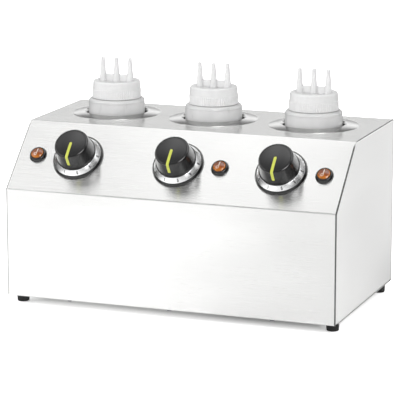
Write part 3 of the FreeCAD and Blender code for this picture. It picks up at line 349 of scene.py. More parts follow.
# Corners (across, up, round radius) become a path: each round corner is an arc of equal steps
def roundedPath(corners, closed=False, steps=6):
    path = []
    count = len(corners)
    for i, corner in enumerate(corners):
        point = np.array(corner[:2], dtype=float)
        radius = corner[2] if len(corner) > 2 else 0
        if not radius or (not closed and i in (0, count - 1)):
            path.append(point)
            continue
        before = np.array(corners[i - 1][:2]) - point
        after = np.array(corners[(i + 1) % count][:2]) - point
        before, after = before / np.linalg.norm(before), after / np.linalg.norm(after)
        half = math.acos(np.clip(before @ after, -1, 1)) / 2
        reach = radius / math.tan(half)
        middle = point + (before + after) / np.linalg.norm(before + after) * radius / math.sin(half)
        start, end = point + before * reach - middle, point + after * reach - middle
        turn = math.atan2(start[0] * end[1] - start[1] * end[0], start @ end)
        angles = np.linspace(0, turn, steps + 1)
        cos, sin = np.cos(angles), np.sin(angles)
        path += list(np.stack([cos * start[0] - sin * start[1], sin * start[0] + cos * start[1]], 1) + middle)
    return np.array(path)


# Quads of a grid of rows, closed along each row, and from the last row to the first where asked
def gridFaces(rows, columns, closedRows=False):
    row = np.arange(rows if closedRows else rows - 1)[:, None]
    column = np.arange(columns)[None, :]
    nextRow, nextColumn = (row + 1) % rows, (column + 1) % columns
    corners = [row * columns + column, row * columns + nextColumn,
               nextRow * columns + nextColumn, nextRow * columns + column]
    return np.stack([corner.ravel() for corner in np.broadcast_arrays(*corners)], 1)


# A turned surface in millimetres: each profile point (radius, height) swept round the axis,
# with the radius changed at each angle and height by a function where one is given
def turned(profile, count, change=None, closed=False):
    angle = np.linspace(0, 2 * np.pi, count, endpoint=False)[None, :]
    radius = np.repeat(profile[:, :1], count, 1)
    height = np.repeat(profile[:, 1:2], count, 1)
    if change is not None:
        radius = change(radius, height, angle)
    points = np.stack([radius * np.cos(angle), radius * np.sin(angle), height], 2).reshape(-1, 3)
    return points, gridFaces(len(profile), count, closedRows=closed)


# Several surfaces as one list of points and faces
def joined(*surfaces):
    points, faces, start = [], [], 0
    for surfacePoints, surfaceFaces in surfaces:
        points.append(surfacePoints)
        faces.append(surfaceFaces + start)
        start += len(surfacePoints)
    return np.concatenate(points), np.concatenate(faces)


# Where a local millimetre point lies: origin plus its three parts along the local axes, in metres
def placed(points, origin, across=(1, 0, 0), back=(0, 1, 0), up=(0, 0, 1)):
    axes = np.array([across, back, up], dtype=float)
    return np.array(origin, dtype=float) + points * 0.001 @ axes


# A mesh piece in metres: doubles merged, normals outwards, sharp only past an angle
def makePiece(name, surface, material, body, node=None, sharp=38, painted=None):
    points, faces = surface
    mesh = bpy.data.meshes.new(name)
    mesh.from_pydata(points.tolist(), [], faces.tolist())
    for label, shares in (painted or {}).items():
        attribute = mesh.attributes.new(label, "FLOAT", "POINT")
        attribute.data.foreach_set("value", np.asarray(shares, dtype=np.float32).ravel())
    work = bmesh.new()
    work.from_mesh(mesh)
    bmesh.ops.remove_doubles(work, verts=work.verts, dist=1e-6)
    bmesh.ops.dissolve_degenerate(work, edges=work.edges, dist=1e-7)
    bmesh.ops.recalc_face_normals(work, faces=work.faces)
    work.to_mesh(mesh)
    work.free()
    mesh.polygons.foreach_set("use_smooth", [True] * len(mesh.polygons))
    mesh.set_sharp_from_angle(angle=math.radians(sharp))
    mesh.materials.append(material)
    piece = addThing(name, mesh)
    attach(piece, body)
    if node:
        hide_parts(node)


# Where a station's axis meets the slope, moved sideways to an x of its own where one is given
def slopeOrigin(number, x=None):
    origin = np.array(joints[f"knob_turn_{number}"]["pos_m"], dtype=float)
    if x is not None:
        origin[0] = x
    return origin


# A point of a node's box, by its share of the way from low to high along x, y and z
def boxPoint(node, shares):
    low, high = (np.array(corner, dtype=float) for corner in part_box(node))
    shares = np.array(shares)
    return low * (1 - shares) + high * shares


# Wells: cup, rolled lip and the cone of the flange, as one drawn piece
wellSizes = {
    "radius": 37.5, "wall": 0.8, "depth": 165.0, "floorRound": 5.0, "lipRound": 3.5,
    "flangeRadius": 55.5, "flangeTop": 3.8, "flangeEdge": 1.0, "seat": 1.2, "segments": 192,
}
s = wellSizes
outer = s["radius"] + s["wall"]
wellProfile = roundedPath([
    (0, -s["depth"]),
    (s["radius"], -s["depth"], s["floorRound"]),
    (s["radius"], s["flangeTop"], s["lipRound"]),
    (s["flangeRadius"], s["flangeEdge"], 0.45),
    (s["flangeRadius"], 0),
    (s["flangeRadius"] - s["seat"], 0),
    (outer, s["flangeTop"] - s["wall"], s["lipRound"] - s["wall"]),
    (outer, -s["depth"] - s["wall"], s["floorRound"] + s["wall"]),
    (0, -s["depth"] - s["wall"]),
], steps=8)
for number in stationNumbers:
    origin = boxPoint(f"well_{number}", (0.5, 0.5, 1)) - [0, 0, 0.001 * wellSizes["flangeTop"]]
    points, faces = turned(wellProfile, wellSizes["segments"])
    # the rolled lip rises no higher than the flange
    points[:, 2] = np.minimum(points[:, 2], wellSizes["flangeTop"])
    makePiece(
        f"drawn_well_{number}", (placed(points, origin), faces), spunWell, "housing", f"well_{number}",
        painted={"turnRadius": np.hypot(points[:, 0], points[:, 1])},
    )
print("wells done")

# Bottles: blown, with a soft shoulder and a thin neck
bottleSizes = {
    "radius": 35.25, "wall": 1.2, "footRound": 4.0, "shoulderTop": 184.2, "shoulderRound": 4.0,
    "neckRadius": 27.0, "neckWall": 1.4, "neckTop": 202.2,
    "grooveHeight": 179.3, "grooveDepth": 0.25, "grooveReach": 0.8, "segments": 160,
}
s = bottleSizes
inner, neckInner = s["radius"] - s["wall"], s["neckRadius"] - s["neckWall"]
bottleProfile = roundedPath([
    (0, 0), (s["radius"], 0, s["footRound"]), (s["radius"], s["grooveHeight"] - s["grooveReach"]),
    (s["radius"] - s["grooveDepth"], s["grooveHeight"], 0.5),
    (s["radius"], s["grooveHeight"] + s["grooveReach"]),
    (s["radius"], s["shoulderTop"], s["shoulderRound"]),
    (s["neckRadius"], s["shoulderTop"], 0.8), (s["neckRadius"], s["neckTop"], 0.4),
    (neckInner, s["neckTop"], 0.4), (neckInner, s["shoulderTop"] - s["wall"]),
    (inner, s["shoulderTop"] - s["wall"], s["shoulderRound"] - s["wall"]),
    (inner, s["wall"], s["footRound"] - s["wall"]), (0, s["wall"]),
], steps=9)
for number in stationNumbers:
    origin = boxPoint(f"bottle_{number}", (0.5, 0.5, 0))
    points, faces = turned(bottleProfile, bottleSizes["segments"])
    makePiece(
        f"squeeze_bottle_{number}", (placed(points, origin), faces), blownBottle,
        f"bottle_body_{number}", f"bottle_{number}",
    )
print("bottles done")

# Caps: ribbed skirt, dished top, three tips and the web that joins them
capSizes = {
    "skirtInner": 27.6, "skirtOuter": 30.1, "height": 21.5, "draft": 0.8, "edgeRound": 2.0,
    "ribDepth": 0.55, "ribShare": 0.7, "ribHeight": 10.6, "ribBevel": 0.5, "ribCount": 72, "ribSteps": 8,
    "recessRadius": 21.4, "recessDepth": 2.0, "ceiling": 17.9,
    "tipPitch": 18.25, "tipHeight": 28.1, "tipTop": 2.4, "tipBase": 4.7, "tipFlare": 0.6, "flareHeight": 1.2,
    "tipSink": 0.3, "bore": 1.2, "boreDepth": 6.0, "tipSegments": 40,
    "webThickness": 2.2, "webHeight": 7.5, "webSag": 0.5, "webColumns": 49,
}
s = capSizes
capProfile = roundedPath([
    (0, s["ceiling"]), (s["skirtInner"], s["ceiling"], 0.6), (s["skirtInner"], 0, 0.3),
    (s["skirtOuter"] + s["ribDepth"], 0, 0.12), (s["skirtOuter"] + s["ribDepth"], s["ribHeight"], 0.2),
    (s["skirtOuter"], s["ribHeight"] + s["ribBevel"], 0.3),
    (s["skirtOuter"] - s["draft"], s["height"], s["edgeRound"]),
    (s["recessRadius"] + 0.4, s["height"], 0.6),
    (s["recessRadius"], s["height"] - s["recessDepth"], 0.7), (0, s["height"] - s["recessDepth"]),
], steps=7)


# Ribs: the radius outside the skirt swings between the ribs' crests and a share of their depth
def ribbed(radius, height, angle):
    s = capSizes
    outside = np.clip((radius - s["skirtOuter"]) / s["ribDepth"], 0, 1)
    swing = 0.5 + 0.5 * np.cos(angle * s["ribCount"])
    return radius - outside * s["ribShare"] * s["ribDepth"] * (1 - swing)


# The whole cap: skirt, three hollow tips sunk a little into the top, and the web. The web's top
# dips between the tips with the square of the sine of the distance from the middle.
def capSurface():
    s = capSizes
    surfaces = [turned(capProfile, s["ribCount"] * s["ribSteps"], ribbed)]
    floor = s["height"] - s["recessDepth"] - s["tipSink"]
    top = s["height"] + s["tipHeight"]
    tip = roundedPath([
        (s["tipBase"] + s["tipFlare"], floor), (s["tipBase"], floor + s["flareHeight"], 1.0),
        (s["tipTop"], top, 0.45), (s["bore"], top, 0.2),
        (s["bore"], top - s["boreDepth"]), (0, top - s["boreDepth"]),
    ], steps=5)
    for share in (-1, 0, 1):
        points, faces = turned(tip, s["tipSegments"])
        surfaces.append((points + [share * s["tipPitch"], 0, 0], faces))
    half, crest, columns = s["webThickness"] / 2, s["height"] + s["webHeight"], s["webColumns"]
    section = roundedPath([
        (-half, floor), (half, floor), (half, crest, 0.6), (-half, crest, 0.6),
    ], closed=True, steps=4)
    across = np.linspace(-s["tipPitch"], s["tipPitch"], columns)[:, None]
    sag = s["webSag"] * np.sin(np.pi * across / s["tipPitch"]) ** 2
    height = section[None, :, 1] - sag * (section[None, :, 1] > crest - 1)
    points = np.stack([
        np.repeat(across, len(section), 1), np.repeat(section[None, :, 0], columns, 0), height,
    ], 2).reshape(-1, 3)
    surfaces.append((points, gridFaces(columns, len(section))))
    return joined(*surfaces)


capPoints, capFaces = capSurface()
for number in stationNumbers:
    origin = boxPoint(f"bottle_cap_{number}", (0.5, 0.5, 0))
    makePiece(
        f"tip_cap_{number}", (placed(capPoints, origin), capFaces), mouldedCap,
        f"cap_body_{number}", f"bottle_cap_{number}", sharp=50,
    )
print("caps done")

# Dial bezels: black rings with a ledge for the dial
bezelSizes = {
    "radius": 31.9, "bore": 26.5, "rim": 1.2, "height": 4.2, "bevel": 1.5, "inner": 29.85, "ledge": 3.9,
    "segments": 160,
}
s = bezelSizes
bezelProfile = roundedPath([
    (s["bore"], 0), (s["radius"], 0, 0.25), (s["radius"], s["rim"], 0.9),
    (s["radius"] - s["bevel"], s["height"], 0.45), (s["inner"], s["height"], 0.1),
    (s["inner"], s["ledge"]), (s["bore"], s["ledge"]),
], closed=True)

# Dials: a steep cone, flat under the knob
dialSizes = {
    "edge": 29.75, "seat": 3.9, "top": 24.9, "topHeight": 9.2, "bore": 5.6, "wall": 1.2,
    "digitRadius": 27.4, "digitHeight": 3.9, "capShare": 0.7, "narrow": 0.72, "weight": 0.22,
    "proud": 0.05, "firstAngle": 18.0, "pitch": 36.0, "count": 10, "segments": 160,
}
s = dialSizes
dialProfile = roundedPath([
    (s["edge"] - s["wall"], s["seat"]), (s["edge"], s["seat"], 0.15), (s["top"], s["topHeight"], 0.4),
    (s["bore"], s["topHeight"]), (s["bore"], s["topHeight"] - s["wall"]),
    (s["top"] - s["wall"], s["topHeight"] - s["wall"]),
], closed=True, steps=5)


# Numbers wrapped on the cone: x runs round it, y runs up it towards the knob. A digit is as high
# as capShare of its font's size, and each point stands proud along the cone's normal.
def dialDigits():
    s = dialSizes
    run, rise = s["edge"] - s["top"], s["topHeight"] - s["seat"]
    slant = math.hypot(run, rise)
    surfaces = []
    for number in range(1, s["count"] + 1):
        text = bpy.data.curves.new("digits", "FONT")
        text.body = str(number % s["count"])
        text.size = s["digitHeight"] / s["capShare"]
        text.align_x, text.align_y = "CENTER", "CENTER"
        text.resolution_u = 3
        text.offset = s["weight"]
        holder = addThing("digits", text)
        graph = bpy.context.evaluated_depsgraph_get()
        flat = bpy.data.meshes.new_from_object(holder.evaluated_get(graph))
        flat.calc_loop_triangles()
        places = np.empty(len(flat.vertices) * 3)
        flat.vertices.foreach_get("co", places)
        places = places.reshape(-1, 3)
        triangles = np.empty(len(flat.loop_triangles) * 3, dtype=int)
        flat.loop_triangles.foreach_get("vertices", triangles)
        angle = math.radians(s["firstAngle"] + s["pitch"] * (number - 1))
        angle = angle - places[:, 0] * s["narrow"] / s["digitRadius"]
        radius = s["digitRadius"] - places[:, 1] * run / slant + s["proud"] * rise / slant
        height = s["seat"] + (s["edge"] - s["digitRadius"] + places[:, 1] * run / slant) * rise / run
        height += s["proud"] * run / slant
        points = np.stack([-radius * np.sin(angle), -radius * np.cos(angle), height], 1)
        surfaces.append((points, triangles.reshape(-1, 3)))
        bpy.data.objects.remove(holder)
        bpy.data.meshes.remove(flat)
        bpy.data.curves.remove(text)
    return joined(*surfaces)


digitPoints, digitFaces = dialDigits()

# Knobs: tapered grip with an edge band, a rounded rim and a fine groove round the top disc, which
# is a little domed: it falls with the square of the radius
knobSizes = {
    "bottom": 9.6, "base": 25.0, "band": 2.2, "skirt": 24.2, "top": 20.8, "height": 31.5, "fall": 0.8,
    "rimRound": 2.0, "grooveRadius": 18.6, "grooveWidth": 0.45, "grooveDepth": 0.35, "wall": 2.4,
    "shaft": 3.08, "boss": 6.58, "socket": 26.5, "discRings": 13, "segments": 160,
    "rimPolishAndShade": 2.2, "footPolishAndShade": 1.0, "polishAndShadeBlend": 0.3,
}
s = knobSizes
discEdge, rimLevel = s["grooveRadius"] - s["grooveWidth"], s["height"] - s["fall"]
bandTop = s["bottom"] + s["band"]
# where the polish and painted shade of the rim and of the foot end on the side, each a pair of close points
rimFoot, footEnd, blend = rimLevel - s["rimPolishAndShade"], bandTop + s["footPolishAndShade"], s["polishAndShadeBlend"]
sideSpots = [
    (np.interp(level, (bandTop, rimLevel), (s["skirt"], s["top"])), level)
    for level in (rimFoot, rimFoot - blend, footEnd + blend, footEnd)
]
discSpots = [
    (radius, s["height"] - s["fall"] * (radius / s["grooveRadius"]) ** 2)
    for radius in np.linspace(0, discEdge, s["discRings"])
]
knobProfile = roundedPath([
    *discSpots, (s["grooveRadius"] - s["grooveWidth"] / 2, rimLevel - s["grooveDepth"]),
    (s["grooveRadius"], rimLevel, 0.12), (s["top"], rimLevel, s["rimRound"]), *sideSpots,
    (s["skirt"], bandTop, 0.25), (s["base"], bandTop, 0.3),
    (s["base"], s["bottom"], 0.3), (s["skirt"] - s["wall"], s["bottom"]),
    (s["top"] - s["wall"], s["height"] - s["wall"]), (s["boss"], s["height"] - s["wall"]),
    (s["boss"], s["bottom"]), (s["shaft"], s["bottom"]), (s["shaft"], s["socket"]), (0, s["socket"]),
], steps=7)

# Pointers: a bright strip inlaid from the middle of the top down the side
pointerSizes = {
    "width": 3.5, "proud": 0.25, "start": 0.95, "foot": 17.45, "footRadius": 23.22, "depth": 0.6,
    "footRound": 1.0, "leastHalf": 0.02, "crown": 0.6, "rows": 60, "endRows": 9, "columns": 13,
}


# The strip: a domed section carried along the knob's outline, narrowed to round ends. The dome is
# the sine of the way across, raised to the power crown, which makes it fuller.
def pointerSurface():
    s, k = pointerSizes, knobSizes
    path = roundedPath([
        (s["start"], k["height"]), *((-radius, level) for radius, level in discSpots[1:]),
        (-k["top"], rimLevel, k["rimRound"]), (-s["footRadius"], s["foot"]),
    ], steps=10)
    lengths = np.concatenate([[0], np.cumsum(np.linalg.norm(np.diff(path, axis=0), axis=1))])
    half, end = s["width"] / 2, lengths[-1]
    rounding = 1 - np.cos(np.linspace(0, np.pi / 2, s["endRows"]))
    stations = np.unique(np.concatenate([
        half * rounding, np.linspace(half, end - half, s["rows"]), end - s["footRound"] * rounding,
    ]))
    line = np.stack([np.interp(stations, lengths, path[:, i]) for i in (0, 1)], 1)
    along = np.gradient(line, stations, axis=0)
    along /= np.linalg.norm(along, axis=1)[:, None]
    outward = np.stack([along[:, 1], -along[:, 0]], 1)
    fromStart = np.clip(half - stations, 0, half)
    fromEnd = np.clip(s["footRound"] - (end - stations), 0, s["footRound"])
    width = np.sqrt(np.maximum(half ** 2 - fromStart ** 2, 0))
    width -= s["footRound"] - np.sqrt(np.maximum(s["footRound"] ** 2 - fromEnd ** 2, 0))
    width = np.maximum(width, s["leastHalf"])
    turn = np.linspace(0, np.pi, s["columns"])
    sideways = np.concatenate([np.cos(turn), [-1, 1]])
    lift = np.concatenate([s["proud"] * np.sin(turn) ** s["crown"], [-s["depth"], -s["depth"]]])
    y = line[:, :1] + outward[:, :1] * lift[None, :]
    z = line[:, 1:] + outward[:, 1:] * lift[None, :]
    x = width[:, None] * sideways[None, :]
    return np.stack([x, y, z], 2).reshape(-1, 3), gridFaces(len(stations), len(sideways))


pointerPoints, pointerFaces = pointerSurface()
for number in stationNumbers:
    origin = slopeOrigin(number)
    points, faces = turned(bezelProfile, bezelSizes["segments"], closed=True)
    makePiece(
        f"bezel_ring_{number}", (placed(points, origin, **slopeAxes), faces), glossBlack, "housing",
        f"dial_bezel_{number}",
    )
    points, faces = turned(dialProfile, dialSizes["segments"], closed=True)
    makePiece(
        f"silver_dial_{number}", (placed(points, origin, **slopeAxes), faces), turnedDial, "housing",
        f"dial_face_{number}", painted={"turnRadius": np.hypot(points[:, 0], points[:, 1])},
    )
    makePiece(
        f"dial_numbers_{number}", (placed(digitPoints, origin, **slopeAxes), digitFaces), dialInk,
        "housing",
    )
    # polished and painted darker as painted shade: the foot with its band, and the rim with its groove
    points, faces = turned(knobProfile, knobSizes["segments"])
    outsideDisc = np.hypot(points[:, 0], points[:, 1]) > discEdge + 0.01
    polishedAndShaded = (points[:, 2] < footEnd + blend / 2) | ((points[:, 2] > rimFoot - blend / 2) & outsideDisc)
    makePiece(
        f"grip_knob_{number}", (placed(points, origin, **slopeAxes), faces), knobBlack,
        f"knob_assembly_{number}", f"knob_{number}", painted={"polishAndShadeShare": polishedAndShaded},
    )
    makePiece(
        f"pointer_inlay_{number}", (placed(pointerPoints, origin, **slopeAxes), pointerFaces), limeAcrylic,
        f"knob_assembly_{number}", f"pointer_{number}", sharp=60,
    )
print("knobs and dials done")

# Pilot lamps: a domed black rim with a barrel, and an amber dome
lampSizes = {
    "radius": 11.0, "edge": 0.9, "height": 3.9, "bevel": 1.6, "barrel": 6.9, "depth": 18.0,
    "bottomWall": 1.2, "bore": 5.7, "lens": 8.0, "fit": 0.1, "seat": 1.2, "dome": 2.5, "domeSink": 0.4,
    "wall": 1.4, "shoulder": 1.2, "rings": 44, "segments": 96,
    "toneMiddle": 0.42, "darkStart": 0.78, "darkSpan": 0.2,
    "loopRadius": 1.5, "loopPlace": (-1.3, -2.2), "strokeTop": 5.4, "strokeFoot": -2.2,
    "glowWidth": 0.5, "glowReach": 1.5, "glowMiddle": 0.78, "glowRise": 0.05,
}
s = lampSizes
rimProfile = roundedPath([
    (0, -s["depth"]), (s["barrel"], -s["depth"], 0.3), (s["barrel"], 0), (s["radius"], 0, 0.15),
    (s["radius"], s["edge"], 0.7), (s["radius"] - s["bevel"], s["height"], 1.0),
    (s["lens"] + s["fit"], s["height"], 0.3), (s["lens"] + s["fit"], s["seat"]), (s["bore"], s["seat"]),
    (s["bore"], s["bottomWall"] - s["depth"]), (0, s["bottomWall"] - s["depth"]),
])
domeTurn = np.linspace(0, 1, s["rings"]) * np.pi / 2
domeFoot, domeRise = s["height"] - s["domeSink"], s["dome"] + s["domeSink"]
outerDome = np.stack([s["lens"] * np.sin(domeTurn), domeFoot + domeRise * np.cos(domeTurn)], 1)
lensProfile = np.concatenate([outerDome, [
    (s["lens"], s["seat"]), (s["lens"] - s["wall"], s["seat"]),
    (s["lens"] - s["wall"], s["height"] - s["shoulder"]), (0, s["height"] + s["dome"] - s["wall"]),
]])
for number in stationNumbers:
    origin = slopeOrigin(number, boxPoint(f"lamp_lens_{number}", (0.5, 0.5, 0.5))[0])
    points, faces = turned(rimProfile, s["segments"])
    makePiece(
        f"lamp_rim_{number}", (placed(points, origin, **slopeAxes), faces), glossBlack, "housing",
        f"lamp_bezel_{number}",
    )
    points, faces = turned(lensProfile, s["segments"])
    x, y, z = points.T
    # painted light and shade: the tone runs from uphill to downhill, and turns dark as painted shade in the
    # outer fifth of the radius
    tone = np.clip(s["toneMiddle"] * (1 - y / s["lens"]), 0, 2 * s["toneMiddle"])
    tone += (1 - tone) * np.clip((np.hypot(x, y) / s["lens"] - s["darkStart"]) / s["darkSpan"], 0, 1)
    # distance from the painted highlight's loop and its stroke, which are shaped as the glow tube's,
    # whichever is less
    loop = np.abs(np.hypot(x - s["loopPlace"][0], y - s["loopPlace"][1]) - s["loopRadius"])
    past = np.maximum(np.maximum(y - s["strokeTop"], s["strokeFoot"] - y), 0)
    glowHighlight = np.clip(s["glowReach"] - np.minimum(loop, np.hypot(x, past)) / s["glowWidth"], 0, 1)
    # only the dome takes the painted highlight, a little more uphill
    glowHighlight *= (z > domeFoot - 0.1) * (s["glowMiddle"] + s["glowRise"] * y)
    makePiece(
        f"amber_lens_{number}", (placed(points, origin, **slopeAxes), faces), amberLens, "housing",
        f"lamp_lens_{number}", painted={"lensLightShare": tone, "glowHighlightShare": glowHighlight},
    )
print("lamps done")

# Feet: tapered rubber with a rounded tread and the recess of the screw
footSizes = {
    "top": 8.0, "bottom": 7.4, "height": 11.0, "round": 1.0, "hole": 2.05, "recess": 4.4, "recessDepth": 5.0,
    "segments": 72,
}
s = footSizes
footProfile = roundedPath([
    (s["hole"], s["recessDepth"]), (s["recess"], s["recessDepth"], 0.4), (s["recess"], 0, 0.3),
    (s["bottom"], 0, s["round"]), (s["top"], s["height"], 0.3), (s["hole"], s["height"]),
], closed=True)
for row in ("front", "rear"):
    for end in ("left", "right"):
        node = f"foot_{row}_{end}"
        points, faces = turned(footProfile, s["segments"], closed=True)
        origin = boxPoint(node, (0.5, 0.5, 0))
        makePiece(
            f"rubber_{node}", (placed(points, origin), faces), blackRubber, "housing", node,
        )

# Gland's dome nut: rounded, with grip flutes
domeSizes = {
    "radius": 11.4, "round": 3.2, "mouth": 5.0, "bore": 10.1, "start": 5.3, "stand": 16.9, "end": 19.3,
    "flutes": 18, "fluteDepth": 0.6, "fluteFade": 2.0, "segments": 216,
}
s = domeSizes
domeProfile = roundedPath([
    (s["bore"], s["start"]), (s["radius"], s["start"], 0.4), (s["radius"], s["end"], s["round"]),
    (s["mouth"], s["end"], 0.4), (s["mouth"], s["stand"]), (s["bore"], s["stand"]),
], closed=True, steps=7)


# Flutes: the outside radius dips by the cube of a cosine, and the dips fade below the dome's round
def fluted(radius, height, angle):
    s = domeSizes
    outside = radius > (s["radius"] + s["bore"]) / 2
    share = outside * np.clip((s["end"] - s["round"] - height) / s["fluteFade"], 0, 1)
    return radius - share * s["fluteDepth"] * np.abs(np.cos(angle * s["flutes"] / 2)) ** 3


points, faces = turned(domeProfile, domeSizes["segments"], fluted, closed=True)
origin = boxPoint("gland_dome_nut", (0.5, 1, 0.5)) - [0, 0.001 * domeSizes["end"], 0]
makePiece(
    "gland_dome", (placed(points, origin, back=(0, 0, -1), up=(0, 1, 0)), faces), blackNylon, "housing",
    "gland_dome_nut",
)
print("feet and gland done")

# Finishes of the CAD nodes that stay, by how their names begin. The first that fits is taken.
finishes = {
    "housing_wrap": brushedSheet, "side_panel": brushedSide, "base_plate": millSheet,
    "foot_screws": zincSteel, "base_screws": greySteel, "band_screws": zincSteel,
    "thermostat_screws": zincSteel, "thermostat_": phenolic, "knob_shaft": zincSteel,
    "heater_band": heatSteel, "sensor_probe": drawnCopper, "gland_seal": blackRubber,
    "gland": blackNylon, "lamp_nuts": blackNylon, "neon_lamps": neonGlass, "terminal_block": whiteNylon,
}
for nodeName, thing in nodes.items():
    for start, material in finishes.items():
        if nodeName.startswith(start):
            thing.data.materials.clear()
            thing.data.materials.append(material)
            break

# Floor: a pale matt sweep that keeps the shadow. The camera sees it lifted to white, more so away
# from the object, and metal sees it a little lifted on the left, where the key light falls. Each
# change is given by where it starts and ends, in metres, and by its value before and after.
stageLook = {
    "floorRadius": 9.0, "floorCorners": 96, "paper": 0.8, "seenPaper": 1.4,
    "seen": (0.26, 0.75, 0.03, 0.5), "under": (-0.034, 0, 0, 0.62),
    "cardWay": (1, -0.35, 0), "cards": (0.75, 0.85, 0.8, 0.3), "inside": (0.85, 0.75, 0, 1),
    "front": (-0.1, 0.08, 0.66, 0.25), "sideWay": (-2.65, 1, 0), "side": (-0.62, -0.43, 0.26, 0.04),
    "back": (0.3, 0.9, 0, 0.22), "frontToSide": (-0.2, 0.1),
}
s = stageLook
floorMaterial = bpy.data.materials.new("paperSweep")
tree = emptyTree(floorMaterial)
paths = addNode(tree, "ShaderNodeLightPath").outputs
place = addNode(tree, "ShaderNodeTexCoord").outputs["Object"]
parts = addNode(tree, "ShaderNodeSeparateXYZ", [place]).outputs
reach = addNode(tree, "ShaderNodeVectorMath", [place], operation="LENGTH").outputs["Value"]
# metal sees dark cards at both sides and at the front right, where the paper ends for it
aside = addNode(tree, "ShaderNodeMath", [parts["X"]], operation="ABSOLUTE")
rightFront = addNode(tree, "ShaderNodeVectorMath", (place, s["cardWay"]), operation="DOT_PRODUCT")
aside = addNode(tree, "ShaderNodeMath", (aside, rightFront.outputs["Value"]), operation="MAXIMUM")
cards = addNode(tree, "ShaderNodeMapRange", (aside, *s["cards"]))
paper = addNode(tree, "ShaderNodeMix", {0: paths["Is Glossy Ray"], 2: s["paper"], 3: cards})
paper = addNode(tree, "ShaderNodeMix", {0: paths["Is Camera Ray"], 2: paper, 3: s["seenPaper"]})
matt = addNode(tree, "ShaderNodeBsdfDiffuse", {"Color": paper})
# what the front mirrors is lifted most at the left, and what the right side mirrors towards its
# own front and again far behind
frontLift = addNode(tree, "ShaderNodeMapRange", (parts["X"], *s["front"]))
slant = addNode(tree, "ShaderNodeVectorMath", (place, s["sideWay"]), operation="DOT_PRODUCT")
sideLift = addNode(tree, "ShaderNodeMapRange", (slant.outputs["Value"], *s["side"]))
backLift = addNode(tree, "ShaderNodeMapRange", (parts["Y"], *s["back"]))
sideLift = addNode(tree, "ShaderNodeMath", (sideLift, backLift), operation="ADD")
mirrorLift = addNode(tree, "ShaderNodeMapRange", (parts["Y"], *s["frontToSide"], frontLift, sideLift))
inside = addNode(tree, "ShaderNodeMapRange", (aside, *s["inside"]))
mirrorLift = addNode(tree, "ShaderNodeMath", (mirrorLift, inside), operation="MULTIPLY")
# under the object the lift that is seen falls from its outline inwards, as where low light
# reaches below it. The outline is the box's half width and the front's distance.
outline = (float(cadBox[1][0]), float(-cadBox[0][1]), 0)
past = addNode(tree, "ShaderNodeVectorMath", [place], operation="ABSOLUTE")
past = addNode(tree, "ShaderNodeVectorMath", (past, outline), operation="SUBTRACT")
past = addNode(tree, "ShaderNodeSeparateXYZ", [past]).outputs
past = addNode(tree, "ShaderNodeMath", (past["X"], past["Y"]), operation="MAXIMUM")
underLift = addNode(tree, "ShaderNodeMapRange", (past, *s["under"]))
seenLift = addNode(tree, "ShaderNodeMapRange", (reach, *s["seen"]))
seenLift = addNode(tree, "ShaderNodeMath", (seenLift, underLift), operation="ADD")
# the camera and glass see one lift, metal the other, and matt surfaces none
lift = addNode(tree, "ShaderNodeMath", (paths["Is Glossy Ray"], mirrorLift), operation="MULTIPLY")
for ray in ("Is Transmission Ray", "Is Camera Ray"):
    lift = addNode(tree, "ShaderNodeMath", (paths[ray], seenLift, lift), operation="MULTIPLY_ADD")
shine = addNode(tree, "ShaderNodeEmission", {"Strength": lift})
both = addNode(tree, "ShaderNodeAddShader", (matt, shine))
addNode(tree, "ShaderNodeOutputMaterial", {"Surface": both})
turn = np.linspace(0, 2 * np.pi, s["floorCorners"], endpoint=False)
rim = np.stack([np.cos(turn), np.sin(turn), 0 * turn], 1) * s["floorRadius"]
floorMesh = bpy.data.meshes.new("floor")
floorMesh.from_pydata(rim.tolist(), [], [list(range(s["floorCorners"]))])
floorMesh.materials.append(floorMaterial)
floor = addThing("floor", floorMesh)

# World: even soft light. The camera and glass see white. Gloss sees a studio by the angle from the
# front over the top to the back, in bands of (share of a half turn, brightness): a grey front, a
# bright ceiling, a dark band and a bright back wall. Dim sides and the other changes, each given
# by the part of the direction where it starts and ends and by its value before and after, make
# the metal's faces differ.
skyLook = {
    "matt": 0.86, "bands": (
        (0.0, 0.7), (0.1, 0.55), (0.3, 0.38), (0.4, 0.42), (0.42, 0.6), (0.46, 2.28), (0.55, 2.25),
        (0.61, 0.9), (0.7, 0.28), (0.86, 0.28), (0.89, 0.6), (0.91, 2.0), (0.94, 2.0), (0.955, 0.8), (1, 0.8),
    ),
    "dim": (0.1, 0.7, 0.2, 0.75), "sides": (0.5, 0.9, 1), "overhead": (0.7, 0.85, 1),
    "patchShift": 0.332, "patch": (0.03, 0.11, 1, 0.42), "besidePatch": (-0.25, -0.17, 0, 1),
    "rightward": (-0.25, 0.2, 0.75, 1.4), "horizon": (0.12, 0.2),
    "windowWay": (0.44, -0.66, 0.61), "window": (0.95, 0.975, 0, 8),
}
s = skyLook
world = bpy.data.worlds.new("studio")
bpy.context.scene.world = world
tree = emptyTree(world)
paths = addNode(tree, "ShaderNodeLightPath").outputs
direction = addNode(tree, "ShaderNodeTexCoord").outputs["Generated"]
parts = addNode(tree, "ShaderNodeSeparateXYZ", [direction]).outputs
forward = addNode(tree, "ShaderNodeMath", (parts["Y"], -1.0), operation="MULTIPLY")
overTop = addNode(tree, "ShaderNodeMath", (parts["Z"], forward), operation="ARCTAN2")
half = addNode(tree, "ShaderNodeMath", (overTop, math.pi), operation="DIVIDE")
ramp = addNode(tree, "ShaderNodeValToRGB", {"Fac": half})
stops = ramp.color_ramp.elements
stops[0].position, stops[1].position = s["bands"][0][0], s["bands"][-1][0]
for position, level in s["bands"][1:-1]:
    stops.new(position)
for stop, (position, level) in zip(stops, s["bands"]):
    stop.color = [level] * 3 + [1]
sideways = addNode(tree, "ShaderNodeMath", [parts["X"]], operation="ABSOLUTE")
dim = addNode(tree, "ShaderNodeMapRange", (parts["Z"], *s["dim"]))
sides = addNode(tree, "ShaderNodeMapRange", (sideways, *s["sides"], dim))
